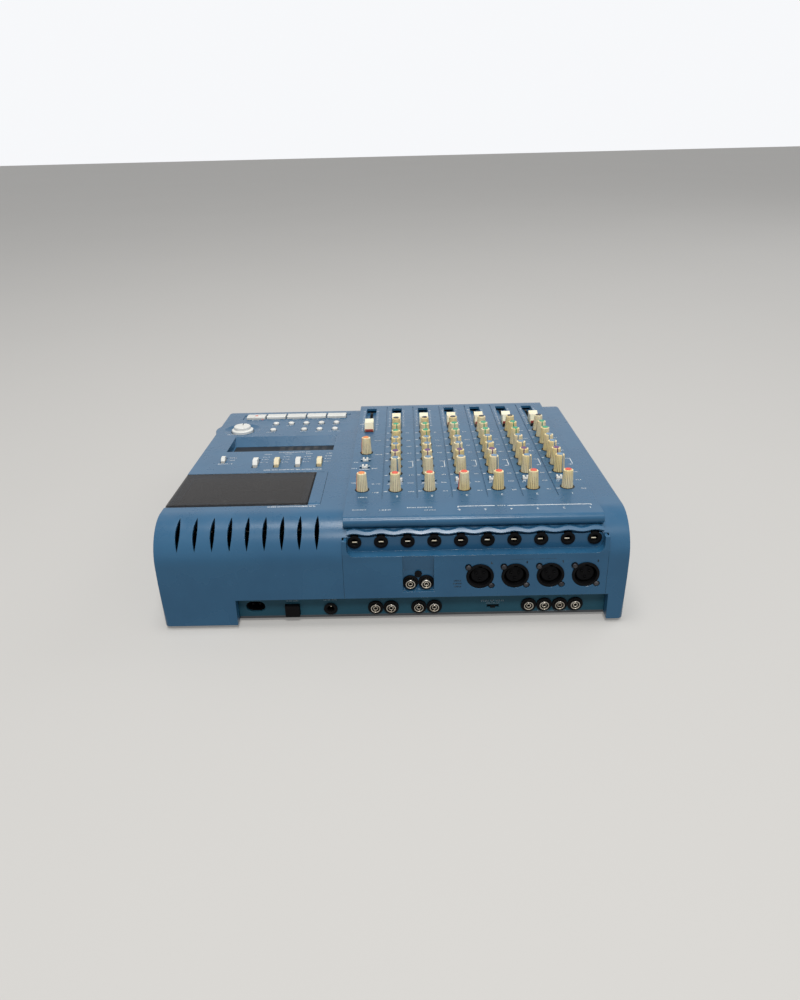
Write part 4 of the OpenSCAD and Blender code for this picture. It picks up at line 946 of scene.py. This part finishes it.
def shown(finish):
    # 1 for what the camera sees, also by reflection or through glass
    rays = finish.add("LightPath")
    node = rays.socket.node
    total = rays
    for kind in ("Is Glossy Ray", "Is Transmission Ray"):
        total = total + Wire(finish, node.outputs[kind])
    return finish.add("Math", {"operation": "MINIMUM"}, {0: total, 1: 1.0})


f = Finish("floorPale")
shade = f.noise(3, 3)
paper = f.blend(shade, stageLook["floor"], tuple(c * 0.97 for c in stageLook["floor"]))
seen = shown(f)
paper = f.blend(seen, stageLook["bounce"], paper)
matt = f.add("BsdfPrincipled", {}, {"Base Color": paper, "Roughness": 0.85 + shade * 0.08,
                                    "Specular IOR Level": 0.2})
glow = f.add("Emission", {}, {"Color": stageLook["floor"], "Strength": 1.0})
sheet = f.add("MixShader", {}, {0: seen * stageLook["glow"], 1: matt, 2: glow})
f.add("OutputMaterial", {}, {"Surface": sheet})
base = bmesh.new()
bmesh.ops.create_grid(base, x_segments=24, y_segments=24, size=stageLook["size"])
floorMesh = bpy.data.meshes.new("floor")
base.to_mesh(floorMesh)
base.free()
floor = bpy.data.objects.new("floor", floorMesh)
floorMesh.materials.append(f.material)
bpy.context.scene.collection.objects.link(floor)

world = bpy.data.worlds.new("studio")
bpy.context.scene.world = world
air = Finish("studioAir", world)
sky = air.tree.nodes.new("ShaderNodeBackground")
sky.inputs["Color"].default_value = (*stageLook["sky"], 1)
strength = stageLook["skyLight"] + shown(air) * (1 - stageLook["skyLight"])
air.tree.links.new(strength.socket, sky.inputs["Strength"])
air.tree.links.new(sky.outputs[0], air.tree.nodes.new("ShaderNodeOutputWorld").inputs["Surface"])

lamps = {
    "overhead": {"at": (0.1, 0.05, 2.2), "aim": (0, 0, 0), "size": 0.8, "power": 18,
                 "tint": (1.0, 0.985, 0.96)},
    "rear": {"at": (-0.15, 1.25, 1.9), "aim": (0, 0, 0), "size": 0.5, "power": 24,
             "tint": (1.0, 0.985, 0.96)},
    "window": {"at": (-1.9, -1.2, 1.6), "aim": (0, 0, 0.05), "size": 1.4, "power": 8,
               "tint": (0.97, 0.985, 1.0)},
}
for name, look in lamps.items():
    light = bpy.data.lights.new(name, "AREA")
    light.shape = "DISK"
    light.size = look["size"]
    light.energy = look["power"]
    light.color = look["tint"]
    holder = bpy.data.objects.new(name, light)
    holder.location = look["at"]
    beam = Vector(look["aim"]) - Vector(look["at"])
    holder.rotation_euler = beam.to_track_quat("-Z", "Y").to_euler()
    bpy.context.scene.collection.objects.link(holder)

view = {"yaw": 0.679, "pitch": 28.176, "roll": -1.464, "at": (-0.01695, 0.7288, 0.4208),
        "focal": 751.0, "long": 1000.0}
yaw, pitch, roll = (math.radians(view[k]) for k in ("yaw", "pitch", "roll"))
ahead = Vector((math.sin(yaw) * math.cos(pitch), -math.cos(yaw) * math.cos(pitch),
                -math.sin(pitch)))
aside = Vector((-math.cos(yaw), -math.sin(yaw), 0))
above = aside.cross(ahead)
across = math.cos(roll) * aside + math.sin(roll) * above
up = -math.sin(roll) * aside + math.cos(roll) * above
lens = bpy.data.cameras.new("photoView")
lens.sensor_width = 36
lens.lens = view["focal"] / view["long"] * lens.sensor_width
lens.clip_start = 0.01
camera = bpy.data.objects.new("photoView", lens)
turn = Matrix((across, up, -ahead)).transposed()
camera.matrix_world = Matrix.Translation(Vector(view["at"])) @ turn.to_4x4()
bpy.context.scene.collection.objects.link(camera)
bpy.context.scene.camera = camera
bpy.context.scene.view_settings.view_transform = "Standard"
print("stage, light and camera set")
